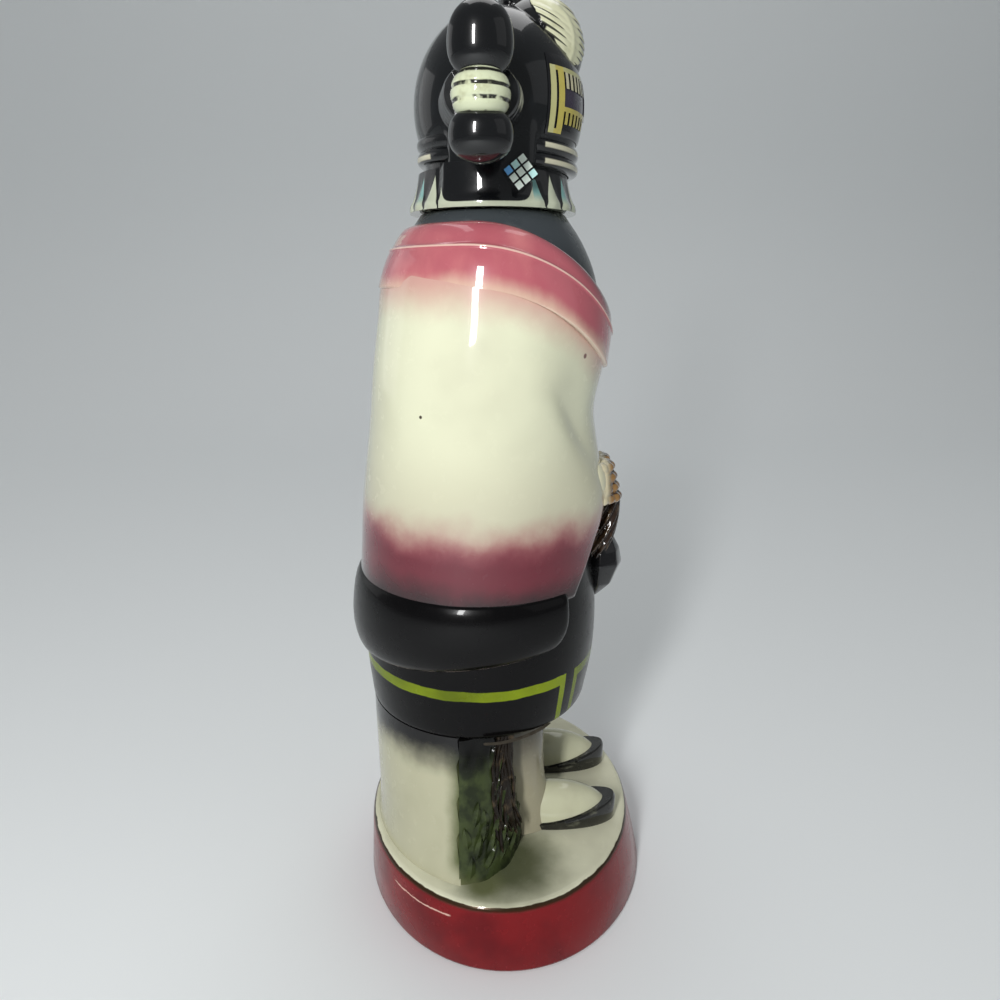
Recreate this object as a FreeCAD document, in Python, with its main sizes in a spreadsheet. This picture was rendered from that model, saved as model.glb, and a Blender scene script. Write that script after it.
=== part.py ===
import FreeCAD, Part
import os
import re
import Sketcher

# A standing robed figure as a bottle, facing -Y, on an oval plinth. The head lifts out as the stopper.
# The origin is the middle of the plinth's underside.
doc = FreeCAD.newDocument("figural_decanter")

SIZES = {
    # Plinth, an oval block whose side spreads towards the foot.
    "plinth_width": 137.0,
    "plinth_depth": 107.0,
    "plinth_height": 26.0,
    "plinth_side_offset": 1.5,
    "plinth_front_offset": 5.5,
    "plinth_back_offset": 1.0,
    "plinth_edge": 2.0,
    "plinth_floor": 6.0,
    "plinth_deck": 6.0,
    # Legs: a wide column behind, two boots with moccasins in front.
    "leg_height": 51.0,
    "column_foot_depth": 100.0,
    "column_foot_extra_width": 19.0,
    "column_wall": 6.0,
    "column_front_setback": 14.0,
    "boot_spacing": 37.0,
    "boot_setback": -2.5,
    "boot_extra_depth": 9.0,
    "ankle_width": 23.0,
    "calf_width": 27.0,
    "foot_length": 52.0,
    "foot_width": 21.0,
    "toe_setback": -48.5,
    "sole_heel_height": 1.2,
    "sole_toe_height": 7.5,
    "sole_margin": 0.8,
    "instep_height": 18.0,
    # Evergreen bough beside the right boot.
    "bough_depth": 26.0,
    "bough_margin": 7.5,
    "bough_top_margin": 20.5,
    "bough_setback": 2.5,
    "leaf_length": 20.0,
    "leaf_width": 8.0,
    "leaf_thickness": 3.0,
    # Bottle: a hollow body that leans back below and is upright at the neck.
    "body_height": 180.0,
    "body_depth": 90.6,
    "body_extra_width": 13.6,
    "body_setback": 5.0,
    "neck_setback": 2.5,
    "bottle_wall": 5.0,
    "bottle_floor": 6.0,
    "shoulder_thickness": 11.0,
    "cavity_top_diameter": 50.0,
    "neck_diameter": 34.0,
    "neck_height": 12.0,
    "bore_diameter": 24.0,
    # Robe over the bottle.
    "hem_height": 21.0,
    "hem_front_height": 12.0,
    "hem_band_height": 32.0,
    "hem_bulge": 5.0,
    "cloak_thickness": 3.0,
    "border_thickness": 1.4,
    "border_forward": 0.9,
    "neckline_drop": 6.0,
    "neckline_front_drop": 31.0,
    "border_drop": 25.0,
    "border_front_drop": 28.0,
    "sweep_length": 50.0,
    "sweep_setback": 8.5,
    "opening_width": 76.0,
    "opening_side_height": 20.0,
    "opening_height": 76.0,
    # Hands, cuffs and what they hold.
    "hand_height": 26.0,
    "hand_width": 17.0,
    "hand_depth": 16.0,
    "hand_centre_height": 82.5,
    "hand_projection": 12.5,
    "cuff_width": 20.0,
    "cuff_height": 27.0,
    "cuff_projection": 9.5,
    "bundle_width": 22.0,
    "bundle_depth": 20.0,
    "bundle_projection": 10.5,
    "bundle_foot_height": 54.0,
    "pouch_height": 28.0,
    "pouch_diameter": 19.0,
    "pouch_projection": 12.0,
    "pouch_foot_height": 35.5,
    # Stopper: cork, flared collar and hollow head.
    "cork_length": 25.5,
    "cork_grip": 16.0,
    "cork_clearance": 0.05,
    "cork_chamfer": 1.5,
    "collar_height": 13.0,
    "collar_diameter": 58.5,
    "collar_top_diameter": 51.6,
    "collar_rim": 2.5,
    "collar_bore_clearance": 1.5,
    "head_diameter": 57.0,
    "head_centre_height": 20.0,
    "head_dome": 31.5,
    "head_wall": 5.0,
    "head_forward": 1.7,
    "head_neck_inset": 3.5,
    "head_skirt_drop": 13.0,
    "septum_height": 10.0,
    "ring_height": 8.6,
    "ring_gap": 2.2,
    "ring_inset": 0.75,
    "ring_groove": 1.0,
    "mask_width": 47.0,
    "mask_height": 24.0,
    "mask_thickness": 0.9,
    "mask_seat": 0.15,
    "stub_diameter": 20.0,
    "stub_reach": 39.0,
    "whorl_centre_height": 17.0,
    "whorl_setback": 3.0,
    "whorl_reach": 45.0,
    "tie_width": 18.0,
    "tie_height": 14.0,
    "tie_thickness": 15.0,
    "lobe_width": 19.0,
    "lobe_height": 24.0,
    "lower_lobe_height": 20.5,
    "lobe_thickness": 15.0,
    "lobe_spacing": 22.0,
    "tablet_size": 9.5,
    "tablet_thickness": 6.0,
    "tablet_reach": 29.6,
    "tablet_forward": 9.0,
    "tablet_centre_height": 10.0,
    "plume_width": 16.5,
    "plume_depth": 33.0,
    "plume_height": 34.0,
    "plume_forward": 11.8,
    "plume_centre_height": 19.0,
    "knot_diameter": 12.0,
    "knot_height": 10.0,
    # One overrun for every cutting tool.
    "overrun": 40.0,
}

sheet = doc.addObject("Spreadsheet::Sheet", "Sizes")
for row, (size_name, size_value) in enumerate(SIZES.items(), start=1):
    sheet.set(f"A{row}", size_name)
    sheet.set(f"B{row}", str(size_value))
    sheet.setAlias(f"B{row}", size_name)
doc.recompute()

# Stacked heights, each written in the sizes below it.
DECK = "plinth_height"
DRESS_FLOOR = "(plinth_height + leg_height)"
HEM = f"({DRESS_FLOOR} + hem_height)"
BAND_TOP = f"({HEM} + hem_band_height)"
LEDGE = f"({DRESS_FLOOR} + body_height)"
NECK_TOP = f"({LEDGE} + neck_height)"
HEAD_FOOT = f"({LEDGE} + collar_height)"
HEAD_CENTRE = f"({HEAD_FOOT} + head_centre_height)"
HEAD_SETBACK = "(neck_setback - head_forward)"
TRUNK_RADIUS = "(head_diameter / 2 - head_neck_inset)"

pieces = []


def bound(text):
    """Turns a formula in size names into one that reads the sheet."""
    return re.sub(r"[a-z_]+", lambda word: f"Sizes.{word[0]}" if word[0] in SIZES else word[0], text)


def value_of(text):
    return float(sheet.evalExpression(bound(text)))


def bind(thing, x=None, y=None, z=None, **formulas):
    """Ties properties and the place of an object to the sheet."""
    for axis, text in (("x", x), ("y", y), ("z", z)):
        if text is not None:
            thing.setExpression(f"Placement.Base.{axis}", bound(text))
    for name, text in formulas.items():
        thing.setExpression(name, bound(text))
    return thing


def primitive(kind, name, **formulas):
    return bind(doc.addObject(f"Part::{kind}", name), **formulas)


def piece(label, thing):
    """Names a finished sub-part; the label names its file."""
    thing.Label = label
    pieces.append(thing)
    return thing


def oval(name, half_width, half_depth, y, z):
    return primitive("Ellipse", name, MajorRadius=half_width, MinorRadius=half_depth, y=y, z=z)


def loft(name, sections, ruled=False):
    thing = doc.addObject("Part::Loft", name)
    thing.Sections = sections
    thing.Solid = True
    thing.Ruled = ruled
    return thing


def cut(name, base, *tools):
    """Takes each tool away in turn."""
    for count, tool in enumerate(tools):
        step = doc.addObject("Part::Cut", f"{name}_cut{count}")
        step.Base = base
        step.Tool = tool
        base = step
    return base


def fuse(name, *things):
    thing = doc.addObject("Part::MultiFuse", name)
    thing.Shapes = things
    return thing


def common(name, first, second):
    thing = doc.addObject("Part::Common", name)
    thing.Base = first
    thing.Tool = second
    return thing


def mirrored(label, source):
    """The same piece on the figure's left side."""
    thing = doc.addObject("Part::Mirroring", label)
    thing.Source = source
    thing.Normal = FreeCAD.Vector(1, 0, 0)
    return piece(label, thing)


def outline(sketch, points):
    """Draws a closed outline of straight runs and ties each corner to the sheet."""
    corners = [FreeCAD.Vector(value_of(across), value_of(up), 0) for across, up in points]
    for number, corner in enumerate(corners):
        sketch.addGeometry(Part.LineSegment(corner, corners[(number + 1) % len(corners)]), False)
    for number in range(len(corners)):
        joint = Sketcher.Constraint("Coincident", number, 2, (number + 1) % len(corners), 1)
        sketch.addConstraint(joint)
    for number, (across, up) in enumerate(points):
        for kind, text in (("DistanceX", across), ("DistanceY", up)):
            index = sketch.addConstraint(Sketcher.Constraint(kind, -1, 1, number, 1, value_of(text)))
            sketch.setExpression(f"Constraints[{index}]", bound(text))


def plane_of(body, role):
    return next(feature for feature in body.Origin.OriginFeatures if feature.Role == role)


def turned(label, points, y, z):
    """A body of revolution about an upright axis at depth y, with its foot at height z."""
    body = doc.addObject("PartDesign::Body", label)
    sketch = body.newObject("Sketcher::SketchObject", f"{label}_profile")
    sketch.AttachmentSupport = [(plane_of(body, "XZ_Plane"), "")]
    sketch.MapMode = "FlatFace"
    doc.recompute()
    outline(sketch, points)
    revolve = body.newObject("PartDesign::Revolution", f"{label}_turn")
    revolve.Profile = sketch
    revolve.ReferenceAxis = (sketch, ["V_Axis"])
    bind(body, y=y, z=z)
    return body


def extruded(name, points, rotation, x=None, y=None, z=None, length="overrun", both_ways=True):
    """A straight-sided tool, drawn in an upright plane and drawn out along its normal."""
    sketch = doc.addObject("Sketcher::SketchObject", f"{name}_profile")
    sketch.Placement.Rotation = rotation
    outline(sketch, points)
    bind(sketch, x=x, y=y, z=z)
    thing = doc.addObject("Part::Extrusion", name)
    thing.Base = sketch
    thing.DirMode = "Normal"
    thing.Solid = True
    bind(thing, LengthFwd=length)
    if both_ways:
        bind(thing, LengthRev=length)
    return thing


def block(name, x, y, z, length, width, height):
    """A straight box, used to cut or to keep a region."""
    return primitive("Box", name, x=x, y=y, z=z, Length=length, Width=width, Height=height)


def ellipsoid(name, half_width, half_depth, half_height, x, y, z):
    return primitive(
        "Ellipsoid", name, Radius1=half_height, Radius2=half_width, Radius3=half_depth, x=x, y=y, z=z
    )


# Plinth: a spread side, a narrow bevel at the top edge, and a hollow that opens under the leg column.
plinth_block = loft(
    "plinth_block",
    [
        oval(
            "plinth_foot",
            "plinth_width / 2 + plinth_side_offset",
            "(plinth_depth + plinth_front_offset + plinth_back_offset) / 2",
            "(plinth_back_offset - plinth_front_offset) / 2",
            "0",
        ),
        oval("plinth_shoulder", "plinth_width / 2", "plinth_depth / 2", "0", f"{DECK} - plinth_edge"),
        oval("plinth_top", "plinth_width / 2 - plinth_edge", "plinth_depth / 2 - plinth_edge", "0", DECK),
    ],
    ruled=True,
)
COLUMN_HALF_DEPTH = "(column_foot_depth / 2)"
COLUMN_HALF_WIDTH = "((column_foot_depth + column_foot_extra_width) / 2)"
hollow_oval = oval(
    "plinth_hollow_oval",
    f"{COLUMN_HALF_WIDTH} - column_wall",
    f"{COLUMN_HALF_DEPTH} - column_wall",
    "0",
    "plinth_floor",
)
plinth_bore = doc.addObject("Part::Extrusion", "plinth_bore")
plinth_bore.Base = hollow_oval
plinth_bore.DirMode = "Normal"
plinth_bore.Solid = True
bind(plinth_bore, LengthFwd="plinth_height")
behind_wall = block(
    "behind_column_wall",
    "-plinth_width",
    "column_front_setback + column_wall",
    "0",
    "2 * plinth_width",
    "plinth_depth",
    "plinth_height + body_height",
)
plinth_pocket = doc.addObject("Part::Extrusion", "plinth_pocket")
plinth_pocket.Base = hollow_oval
plinth_pocket.DirMode = "Normal"
plinth_pocket.Solid = True
bind(plinth_pocket, LengthFwd="plinth_height - plinth_floor - plinth_deck")
plinth_hollow = fuse("plinth_hollow", plinth_pocket, common("plinth_mouth", plinth_bore, behind_wall))
piece("plinth", cut("plinth", plinth_block, plinth_hollow))

# Body sections from the dress hem to the neck ledge: rise, half depth, extra half width, lean.
BODY_SECTION_SHARES = (
    (0.00, 0.938, 0.51, 1.25),
    (0.10, 0.993, 0.44, 1.10),
    (0.20, 1.000, 0.47, 1.04),
    (0.295, 0.962, 0.59, 1.00),
    (0.445, 0.916, 0.81, 1.00),
    (0.60, 0.865, 1.00, 0.74),
    (0.71, 0.851, 0.96, 0.46),
    (0.805, 0.843, 0.78, 0.05),
    (0.88, 0.806, 0.66, 0.00),
    (0.945, 0.700, 0.49, 0.00),
    (1.00, 0.552, 0.15, 0.00),
)
HAND_ROW, POUCH_ROW = BODY_SECTION_SHARES[4], BODY_SECTION_SHARES[3]


def body_depth_at(row):
    return f"body_depth / 2 * {row[1]}"


def body_centre_at(row):
    return f"(neck_setback + body_setback * {row[3]})"


def body_section(name, row, growth, level, forward="0"):
    """One oval of the body, grown outwards or, with a minus, inwards, and moved forward."""
    half_depth = f"{body_depth_at(row)} + {growth}"
    half_width = f"{half_depth} + body_extra_width / 2 * {row[2]}"
    return oval(name, half_width, half_depth, f"{body_centre_at(row)} - {forward}", level)


def body_loft(name, rows, growth, forward="0"):
    sections = []
    for number, row in enumerate(rows):
        level = f"{DRESS_FLOOR} + body_height * {row[0]}"
        sections.append(body_section(f"{name}_section{number}", row, growth, level, forward))
    return loft(name, sections)


# Leg column: from its foot on the plinth to the dress hem, open in front for the boots.
column_sections = [
    oval("column_foot", COLUMN_HALF_WIDTH, COLUMN_HALF_DEPTH, "0", DECK),
    body_section("column_top", BODY_SECTION_SHARES[0], "0", DRESS_FLOOR),
]
column_hollow_sections = [
    oval(
        "hollow_foot",
        f"{COLUMN_HALF_WIDTH} - column_wall",
        f"{COLUMN_HALF_DEPTH} - column_wall",
        "0",
        DECK,
    ),
    body_section("hollow_top", BODY_SECTION_SHARES[0], "(-column_wall)", DRESS_FLOOR),
]
behind_front = block(
    "behind_column_front",
    "-plinth_width",
    "column_front_setback",
    "0",
    "2 * plinth_width",
    "plinth_depth",
    "plinth_height + body_height",
)
in_front = block(
    "in_front_of_column",
    "-plinth_width",
    "column_front_setback - plinth_depth",
    "0",
    "2 * plinth_width",
    "plinth_depth",
    "plinth_height + body_height",
)
column_hollow = common("column_hollow", loft("column_hollow_loft", column_hollow_sections), behind_wall)
leg_column = cut("leg_column", loft("column_block", column_sections), in_front, column_hollow)
piece("leg_column", leg_column)

# Planes of profiles that are drawn from the front and from the side.
upright_front = FreeCAD.Rotation(FreeCAD.Vector(1, 0, 0), 90)
upright_side = FreeCAD.Rotation(FreeCAD.Vector(0, 0, 1), 90) * upright_front

# Boots, moccasins and soles on the right, mirrored to the left.
FOOT_X = "(-boot_spacing / 2)"
FOOT_MIDDLE = "(toe_setback + foot_length / 2)"
BOOT_SECTION_SHARES = ((0.0, 1.08, 0.0), (0.35, 1.0, 0.0), (1.0, 0.0, 1.0))
boot_sections = []
for number, (rise, ankle, calf) in enumerate(BOOT_SECTION_SHARES):
    half_width = f"(ankle_width * {ankle} + calf_width * {calf}) / 2"
    level = f"{DECK} + leg_height * {rise}"
    half_depth = f"{half_width} + boot_extra_depth / 2"
    ring = oval(f"boot_ring{number}", half_depth, half_width, "boot_setback", level)
    ring.Placement.Rotation = FreeCAD.Rotation(FreeCAD.Vector(0, 0, 1), 90)
    boot_sections.append(bind(ring, x=FOOT_X))
boot_block = loft("boot_block", boot_sections)
right_boot = piece("right_boot", cut("right_boot", boot_block, behind_front))
sole_oval = oval("sole_oval", "foot_length / 2", "foot_width / 2", FOOT_MIDDLE, DECK)
sole_oval.Placement.Rotation = FreeCAD.Rotation(FreeCAD.Vector(0, 0, 1), 90)
bind(sole_oval, x=FOOT_X)
sole_block = doc.addObject("Part::Extrusion", "sole_block")
sole_block.Base = sole_oval
sole_block.DirMode = "Normal"
sole_block.Solid = True
bind(sole_block, LengthFwd="sole_toe_height")
over_sole = extruded(
    "over_sole",
    [
        ("0", "sole_toe_height"),
        ("foot_length", "sole_heel_height"),
        ("foot_length", "leg_height"),
        ("0", "leg_height"),
    ],
    upright_side,
    y="toe_setback",
    z=DECK,
    length="plinth_width",
)
sole_wedge = cut("sole_wedge", sole_block, over_sole)
right_sole = piece("right_sole", cut("right_sole", sole_wedge, boot_block))
upper = ellipsoid(
    "moccasin_upper",
    "foot_width / 2 - sole_margin",
    "foot_length / 2 - sole_margin",
    "instep_height",
    FOOT_X,
    FOOT_MIDDLE,
    DECK,
)
upper.Angle1 = 0
right_moccasin = piece("right_moccasin", cut("right_moccasin", upper, sole_wedge, boot_block))
for side_label, side_source in (("boot", right_boot), ("moccasin", right_moccasin), ("sole", right_sole)):
    mirrored(f"left_{side_label}", side_source)

# Evergreen bough in the corner between the column and the right boot: a stem clump with splayed leaves.
BOUGH_REACH = "(plinth_width / 2 - bough_margin)"
BOUGH_TOP_REACH = "(plinth_width / 2 - bough_top_margin)"
BOUGH_SECTION_SHARES = ((0.0, 1.0), (0.35, 0.86), (0.75, 0.70), (1.0, 0.62))
bough_sections = []
for number, (rise, girth) in enumerate(BOUGH_SECTION_SHARES):
    reach = f"({BOUGH_REACH} * {1 - rise} + {BOUGH_TOP_REACH} * {rise})"
    ring = oval(
        f"bough_ring{number}",
        f"({reach} - boot_spacing / 2) / 2",
        f"bough_depth / 2 * {girth}",
        "bough_setback",
        f"{DECK} + leg_height * {rise}",
    )
    bough_sections.append(bind(ring, x=f"-({reach} + boot_spacing / 2) / 2"))
# Leaves: rise up the clump, offset along it and lean in degrees; one pointed outline serves them all.
LEAF_PLACE_SHARES = (
    (0.22, 0.16, -30),
    (0.24, -0.24, 30),
    (0.47, 0.10, -22),
    (0.50, -0.22, 22),
    (0.70, -0.06, 6),
)
LEAF_OUTLINE_SHARES = ((0.0, -0.5), (0.5, -0.14), (0.36, 0.22), (0.0, 0.5), (-0.36, 0.22), (-0.5, -0.14))
leaves = []
for number, (rise, offset, tilt) in enumerate(LEAF_PLACE_SHARES):
    leaf = extruded(
        f"leaf{number}",
        [(f"leaf_width * {across}", f"leaf_length * {up}") for across, up in LEAF_OUTLINE_SHARES],
        FreeCAD.Rotation(FreeCAD.Vector(1, 0, 0), tilt) * upright_side,
        x=f"-{BOUGH_REACH} * {1 - rise} - {BOUGH_TOP_REACH} * {rise}",
        y=f"bough_setback + bough_depth * {offset}",
        z=f"{DECK} + leg_height * {rise}",
        length="leaf_thickness",
    )
    leaves.append(leaf)
bough_mass = fuse("bough_mass", loft("bough_clump", bough_sections), *leaves)
leg_zone = block(
    "leg_zone",
    "-plinth_width",
    "column_front_setback - plinth_depth",
    DECK,
    "plinth_width - (boot_spacing + foot_width) / 2",
    "plinth_depth",
    "leg_height",
)
bough_trimmed = common("bough_trimmed", bough_mass, leg_zone)
piece("spruce_bough", cut("spruce_bough", bough_trimmed, boot_block))

# Bottle: a lofted body with a flat ledge and a short neck, hollow, with a bore for the cork.
bottle_outer = body_loft("bottle_outer", BODY_SECTION_SHARES, "0")
neck = primitive(
    "Cylinder",
    "neck_tube",
    Radius="neck_diameter / 2",
    Height="neck_height + shoulder_thickness",
    y="neck_setback",
    z=f"{LEDGE} - shoulder_thickness",
)
CAVITY_FLOOR = f"{DRESS_FLOOR} + bottle_floor"
cavity_sections = [body_section("cavity_floor", BODY_SECTION_SHARES[0], "(-bottle_wall)", CAVITY_FLOOR)]
for number, row in enumerate(BODY_SECTION_SHARES[1:9]):
    level = f"{DRESS_FLOOR} + body_height * {row[0]}"
    cavity_sections.append(body_section(f"cavity_section{number}", row, "(-bottle_wall)", level))
cavity_sections.append(
    primitive(
        "Circle",
        "cavity_top",
        Radius="cavity_top_diameter / 2",
        y="neck_setback",
        z=f"{LEDGE} - shoulder_thickness",
    )
)
bore = primitive(
    "Cylinder",
    "neck_bore",
    Radius="bore_diameter / 2",
    Height="neck_height + 2 * shoulder_thickness + overrun",
    y="neck_setback",
    z=f"{LEDGE} - 2 * shoulder_thickness",
)
bottle = cut("bottle_body", fuse("bottle_block", bottle_outer, neck), loft("cavity", cavity_sections), bore)
piece("bottle_body", bottle)

# Opening of the robe in front: upright sides at the hem, drawn together to a point under the hands.
opening = extruded(
    "robe_opening",
    [
        ("-opening_width / 2", "-hem_height"),
        ("opening_width / 2", "-hem_height"),
        ("opening_width / 2", "opening_side_height"),
        ("0", "opening_height"),
        ("-opening_width / 2", "opening_side_height"),
    ],
    upright_front,
    z=HEM,
    length="body_depth",
    both_ways=False,
)

# Hem band: a rolled border round the foot of the robe: rise, half depth, extra half width, lean, bulge.
HEM_SECTION_SHARES = (
    (0.0, 0.995, 0.44, 1.08, 0.25),
    (0.2, 1.000, 0.45, 1.06, 0.75),
    (0.48, 1.000, 0.47, 1.04, 1.00),
    (0.82, 0.976, 0.55, 1.01, 1.00),
    (1.0, 0.962, 0.59, 1.00, 0.84),
)
hem_sections = []
for number, row in enumerate(HEM_SECTION_SHARES):
    level = f"{HEM} + hem_band_height * {row[0]}"
    hem_sections.append(body_section(f"hem_section{number}", row[:4], f"hem_bulge * {row[4]}", level))
under_hem = extruded(
    "under_hem",
    [
        ("overrun", "-hem_front_height * overrun / body_depth"),
        ("overrun", "-hem_height - overrun"),
        ("-body_depth - overrun", "-hem_height - overrun"),
        ("-body_depth - overrun", "hem_front_height + hem_front_height * overrun / body_depth"),
    ],
    upright_side,
    y="neck_setback + body_setback + body_depth / 2",
    z=HEM,
    length="body_depth",
)
hem_band = cut("hem_band", loft("hem_block", hem_sections), bottle_outer, under_hem, opening)
piece("hem_band", hem_band)


def above_sweep(name, level, sweep):
    """The region over a border that is level behind and sweeps down to the front in an arc."""
    knee = "(neck_setback + sweep_setback)"
    radius = f"((sweep_length * sweep_length + {sweep} * {sweep}) / (2 * {sweep}))"
    drum = doc.addObject("Part::Cylinder", f"{name}_drum")
    drum.Placement.Rotation = FreeCAD.Rotation(FreeCAD.Vector(0, 1, 0), 90)
    bind(
        drum,
        Radius=radius,
        Height="2 * body_depth",
        x="-body_depth",
        y=knee,
        z=f"{level} - {radius}",
    )
    front = block(
        f"{name}_front",
        "-body_depth",
        f"{knee} - body_depth",
        f"{level} - {radius}",
        "2 * body_depth",
        "body_depth",
        f"{radius} + overrun",
    )
    back = block(f"{name}_back", "-body_depth", knee, level, "2 * body_depth", "body_depth", "overrun")
    return fuse(name, cut(f"{name}_arc", front, drum), back)


# Robe shell over the bottle and the raised border over its shoulders.
above_neckline = above_sweep("above_neckline", f"({LEDGE} - neckline_drop)", "neckline_front_drop")
above_border = above_sweep("above_border", f"({LEDGE} - border_drop)", "border_front_drop")
cloak_outer = body_loft("cloak_outer", BODY_SECTION_SHARES, "cloak_thickness")
robed_body = cut("robed_body", cloak_outer, cut("opening_gap", opening, bottle_outer))
under_robe = block(
    "under_robe", "-body_depth", "-body_depth", "0", "2 * body_depth", "2 * body_depth", BAND_TOP
)
cloak_shell = cut("cloak_shell", cloak_outer, bottle_outer, under_robe, above_neckline, opening)
piece("cloak_shell", cloak_shell)
border_growth = "(cloak_thickness + border_thickness)"
border_outer = body_loft("border_outer", BODY_SECTION_SHARES[4:], border_growth, "border_forward")
border_band = common("border_band", cut("border_skin", border_outer, cloak_outer), above_border)
piece("shoulder_border", cut("shoulder_border", border_band, above_neckline, bottle_outer))

# Barrels: soft upright forms, fuller in the middle: rise and girth.
BARREL_SECTION_SHARES = ((0.0, 0.5), (0.14, 0.8), (0.5, 1.0), (0.86, 0.8), (1.0, 0.5))
FINGER_SECTION_SHARES = ((0.0, 0.86), (0.5, 1.0), (1.0, 0.86))


def barrel(name, rows, half_width, half_depth, height, x, y, z):
    """A lofted form with its foot at height z; it is at least as wide as it is deep."""
    sections = []
    for number, (rise, girth) in enumerate(rows):
        level = f"{z} + {height} * {rise}"
        ring = oval(f"{name}_ring{number}", f"{half_width} * {girth}", f"{half_depth} * {girth}", y, level)
        sections.append(bind(ring, x=x))
    return loft(name, sections)


# Right hand: four fingers stacked in a fist round the bundle, and the cuff that it comes out of.
HAND_FRONT = f"({body_centre_at(HAND_ROW)} - {body_depth_at(HAND_ROW)} - hand_projection)"
HAND_FOOT = f"({DRESS_FLOOR} + hand_centre_height - hand_height / 2)"
FINGER_COUNT = 4
FINGER_HEIGHT = f"(hand_height / {FINGER_COUNT})"
fingers = []
for number in range(FINGER_COUNT):
    finger = barrel(
        f"finger{number}",
        FINGER_SECTION_SHARES,
        "(hand_width / 2)",
        "(hand_depth / 2)",
        FINGER_HEIGHT,
        "-hand_width / 2",
        f"{HAND_FRONT} + hand_depth / 2",
        f"({HAND_FOOT} + {FINGER_HEIGHT} * {number})",
    )
    fingers.append(finger)
right_hand = piece("right_hand", cut("right_hand", fuse("hand_mass", *fingers), robed_body))
sleeve = barrel(
    "sleeve",
    BARREL_SECTION_SHARES,
    "(cuff_width / 2)",
    "cuff_projection",
    "cuff_height",
    "-hand_width",
    f"{HAND_FRONT} + hand_projection - cloak_thickness / 2",
    f"({DRESS_FLOOR} + hand_centre_height - cuff_height / 2)",
)
right_cuff = piece("right_cuff", cut("right_cuff", sleeve, fuse("hand_solid", *fingers), robed_body))
left_hand = mirrored("left_hand", right_hand)
left_cuff = mirrored("left_cuff", right_cuff)

# Gathered sash under the hands and the drop-shaped pouch that hangs from it.
POUCH_SECTION_SHARES = ((0.0, 0.16), (0.2, 0.66), (0.5, 1.0), (0.78, 0.78), (1.0, 0.34))
POUCH_FRONT = f"({body_centre_at(POUCH_ROW)} - {body_depth_at(POUCH_ROW)} - pouch_projection)"
pouch_block = barrel(
    "pouch_block",
    POUCH_SECTION_SHARES,
    "(pouch_diameter / 2)",
    "(pouch_diameter / 2)",
    "pouch_height",
    "0",
    f"{POUCH_FRONT} + pouch_diameter / 2",
    f"({DRESS_FLOOR} + pouch_foot_height)",
)
piece("pouch", cut("pouch", pouch_block, robed_body))
bundle = barrel(
    "bundle",
    BARREL_SECTION_SHARES,
    "(bundle_width / 2)",
    "(bundle_depth / 2)",
    "(hand_centre_height - hand_height / 2 - bundle_foot_height)",
    "0",
    f"{HAND_FRONT} + hand_projection - bundle_projection + bundle_depth / 2",
    f"({DRESS_FLOOR} + bundle_foot_height)",
)
piece("sash_bundle", cut("sash_bundle", bundle, pouch_block, robed_body))

# Cork: a round plug with bevelled ends, gripped by the neck below and by the head above.
CORK_RADIUS = "(bore_diameter / 2 - cork_clearance)"
cork = turned(
    "cork",
    [
        ("0", "0"),
        (f"{CORK_RADIUS} - cork_chamfer", "0"),
        (CORK_RADIUS, "cork_chamfer"),
        (CORK_RADIUS, "cork_length - cork_chamfer"),
        (f"{CORK_RADIUS} - cork_chamfer", "cork_length"),
        ("0", "cork_length"),
    ],
    "neck_setback",
    f"{NECK_TOP} - cork_grip",
)
piece("cork", cork)

# Feather collar: a flared ring that sits on the ledge and hides the neck.
COLLAR_BORE = "(neck_diameter / 2 + collar_bore_clearance)"
collar = turned(
    "feather_collar",
    [
        (COLLAR_BORE, "0"),
        ("collar_diameter / 2", "0"),
        ("collar_diameter / 2", "collar_rim"),
        ("collar_top_diameter / 2", "collar_height"),
        (COLLAR_BORE, "collar_height"),
    ],
    "neck_setback",
    LEDGE,
)
piece("feather_collar", collar)


def dome(name, growth, from_middle=False):
    """The head's egg, grown outwards or, with a minus, inwards."""
    egg = ellipsoid(
        name,
        f"head_diameter / 2 + {growth}",
        f"head_diameter / 2 + {growth}",
        f"head_dome + {growth}",
        "0",
        HEAD_SETBACK,
        HEAD_CENTRE,
    )
    if from_middle:
        egg.Angle1 = 0
    else:
        bind(egg, Angle1="-asin(head_skirt_drop / head_dome)")
    return egg


# Head: an egg on a short trunk, hollow above a septum that holds the cork.
trunk = primitive(
    "Cylinder",
    "head_trunk",
    Radius=TRUNK_RADIUS,
    Height="head_centre_height",
    y=HEAD_SETBACK,
    z=HEAD_FOOT,
)
head_outer = fuse("head_outer", dome("head_egg", "0"), trunk)
inner_trunk = primitive(
    "Cylinder",
    "head_hollow_trunk",
    Radius="head_diameter / 2 - head_wall",
    Height="head_centre_height - septum_height",
    y=HEAD_SETBACK,
    z=f"{HEAD_FOOT} + septum_height",
)
head_hollow = fuse("head_hollow", dome("head_hollow_egg", "(-head_wall)", from_middle=True), inner_trunk)
socket = primitive(
    "Cylinder",
    "cork_socket",
    Radius="bore_diameter / 2",
    Height="head_centre_height",
    y="neck_setback",
    z=HEAD_FOOT,
)
piece("head_shell", cut("head_shell", head_outer, head_hollow, socket))

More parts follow.
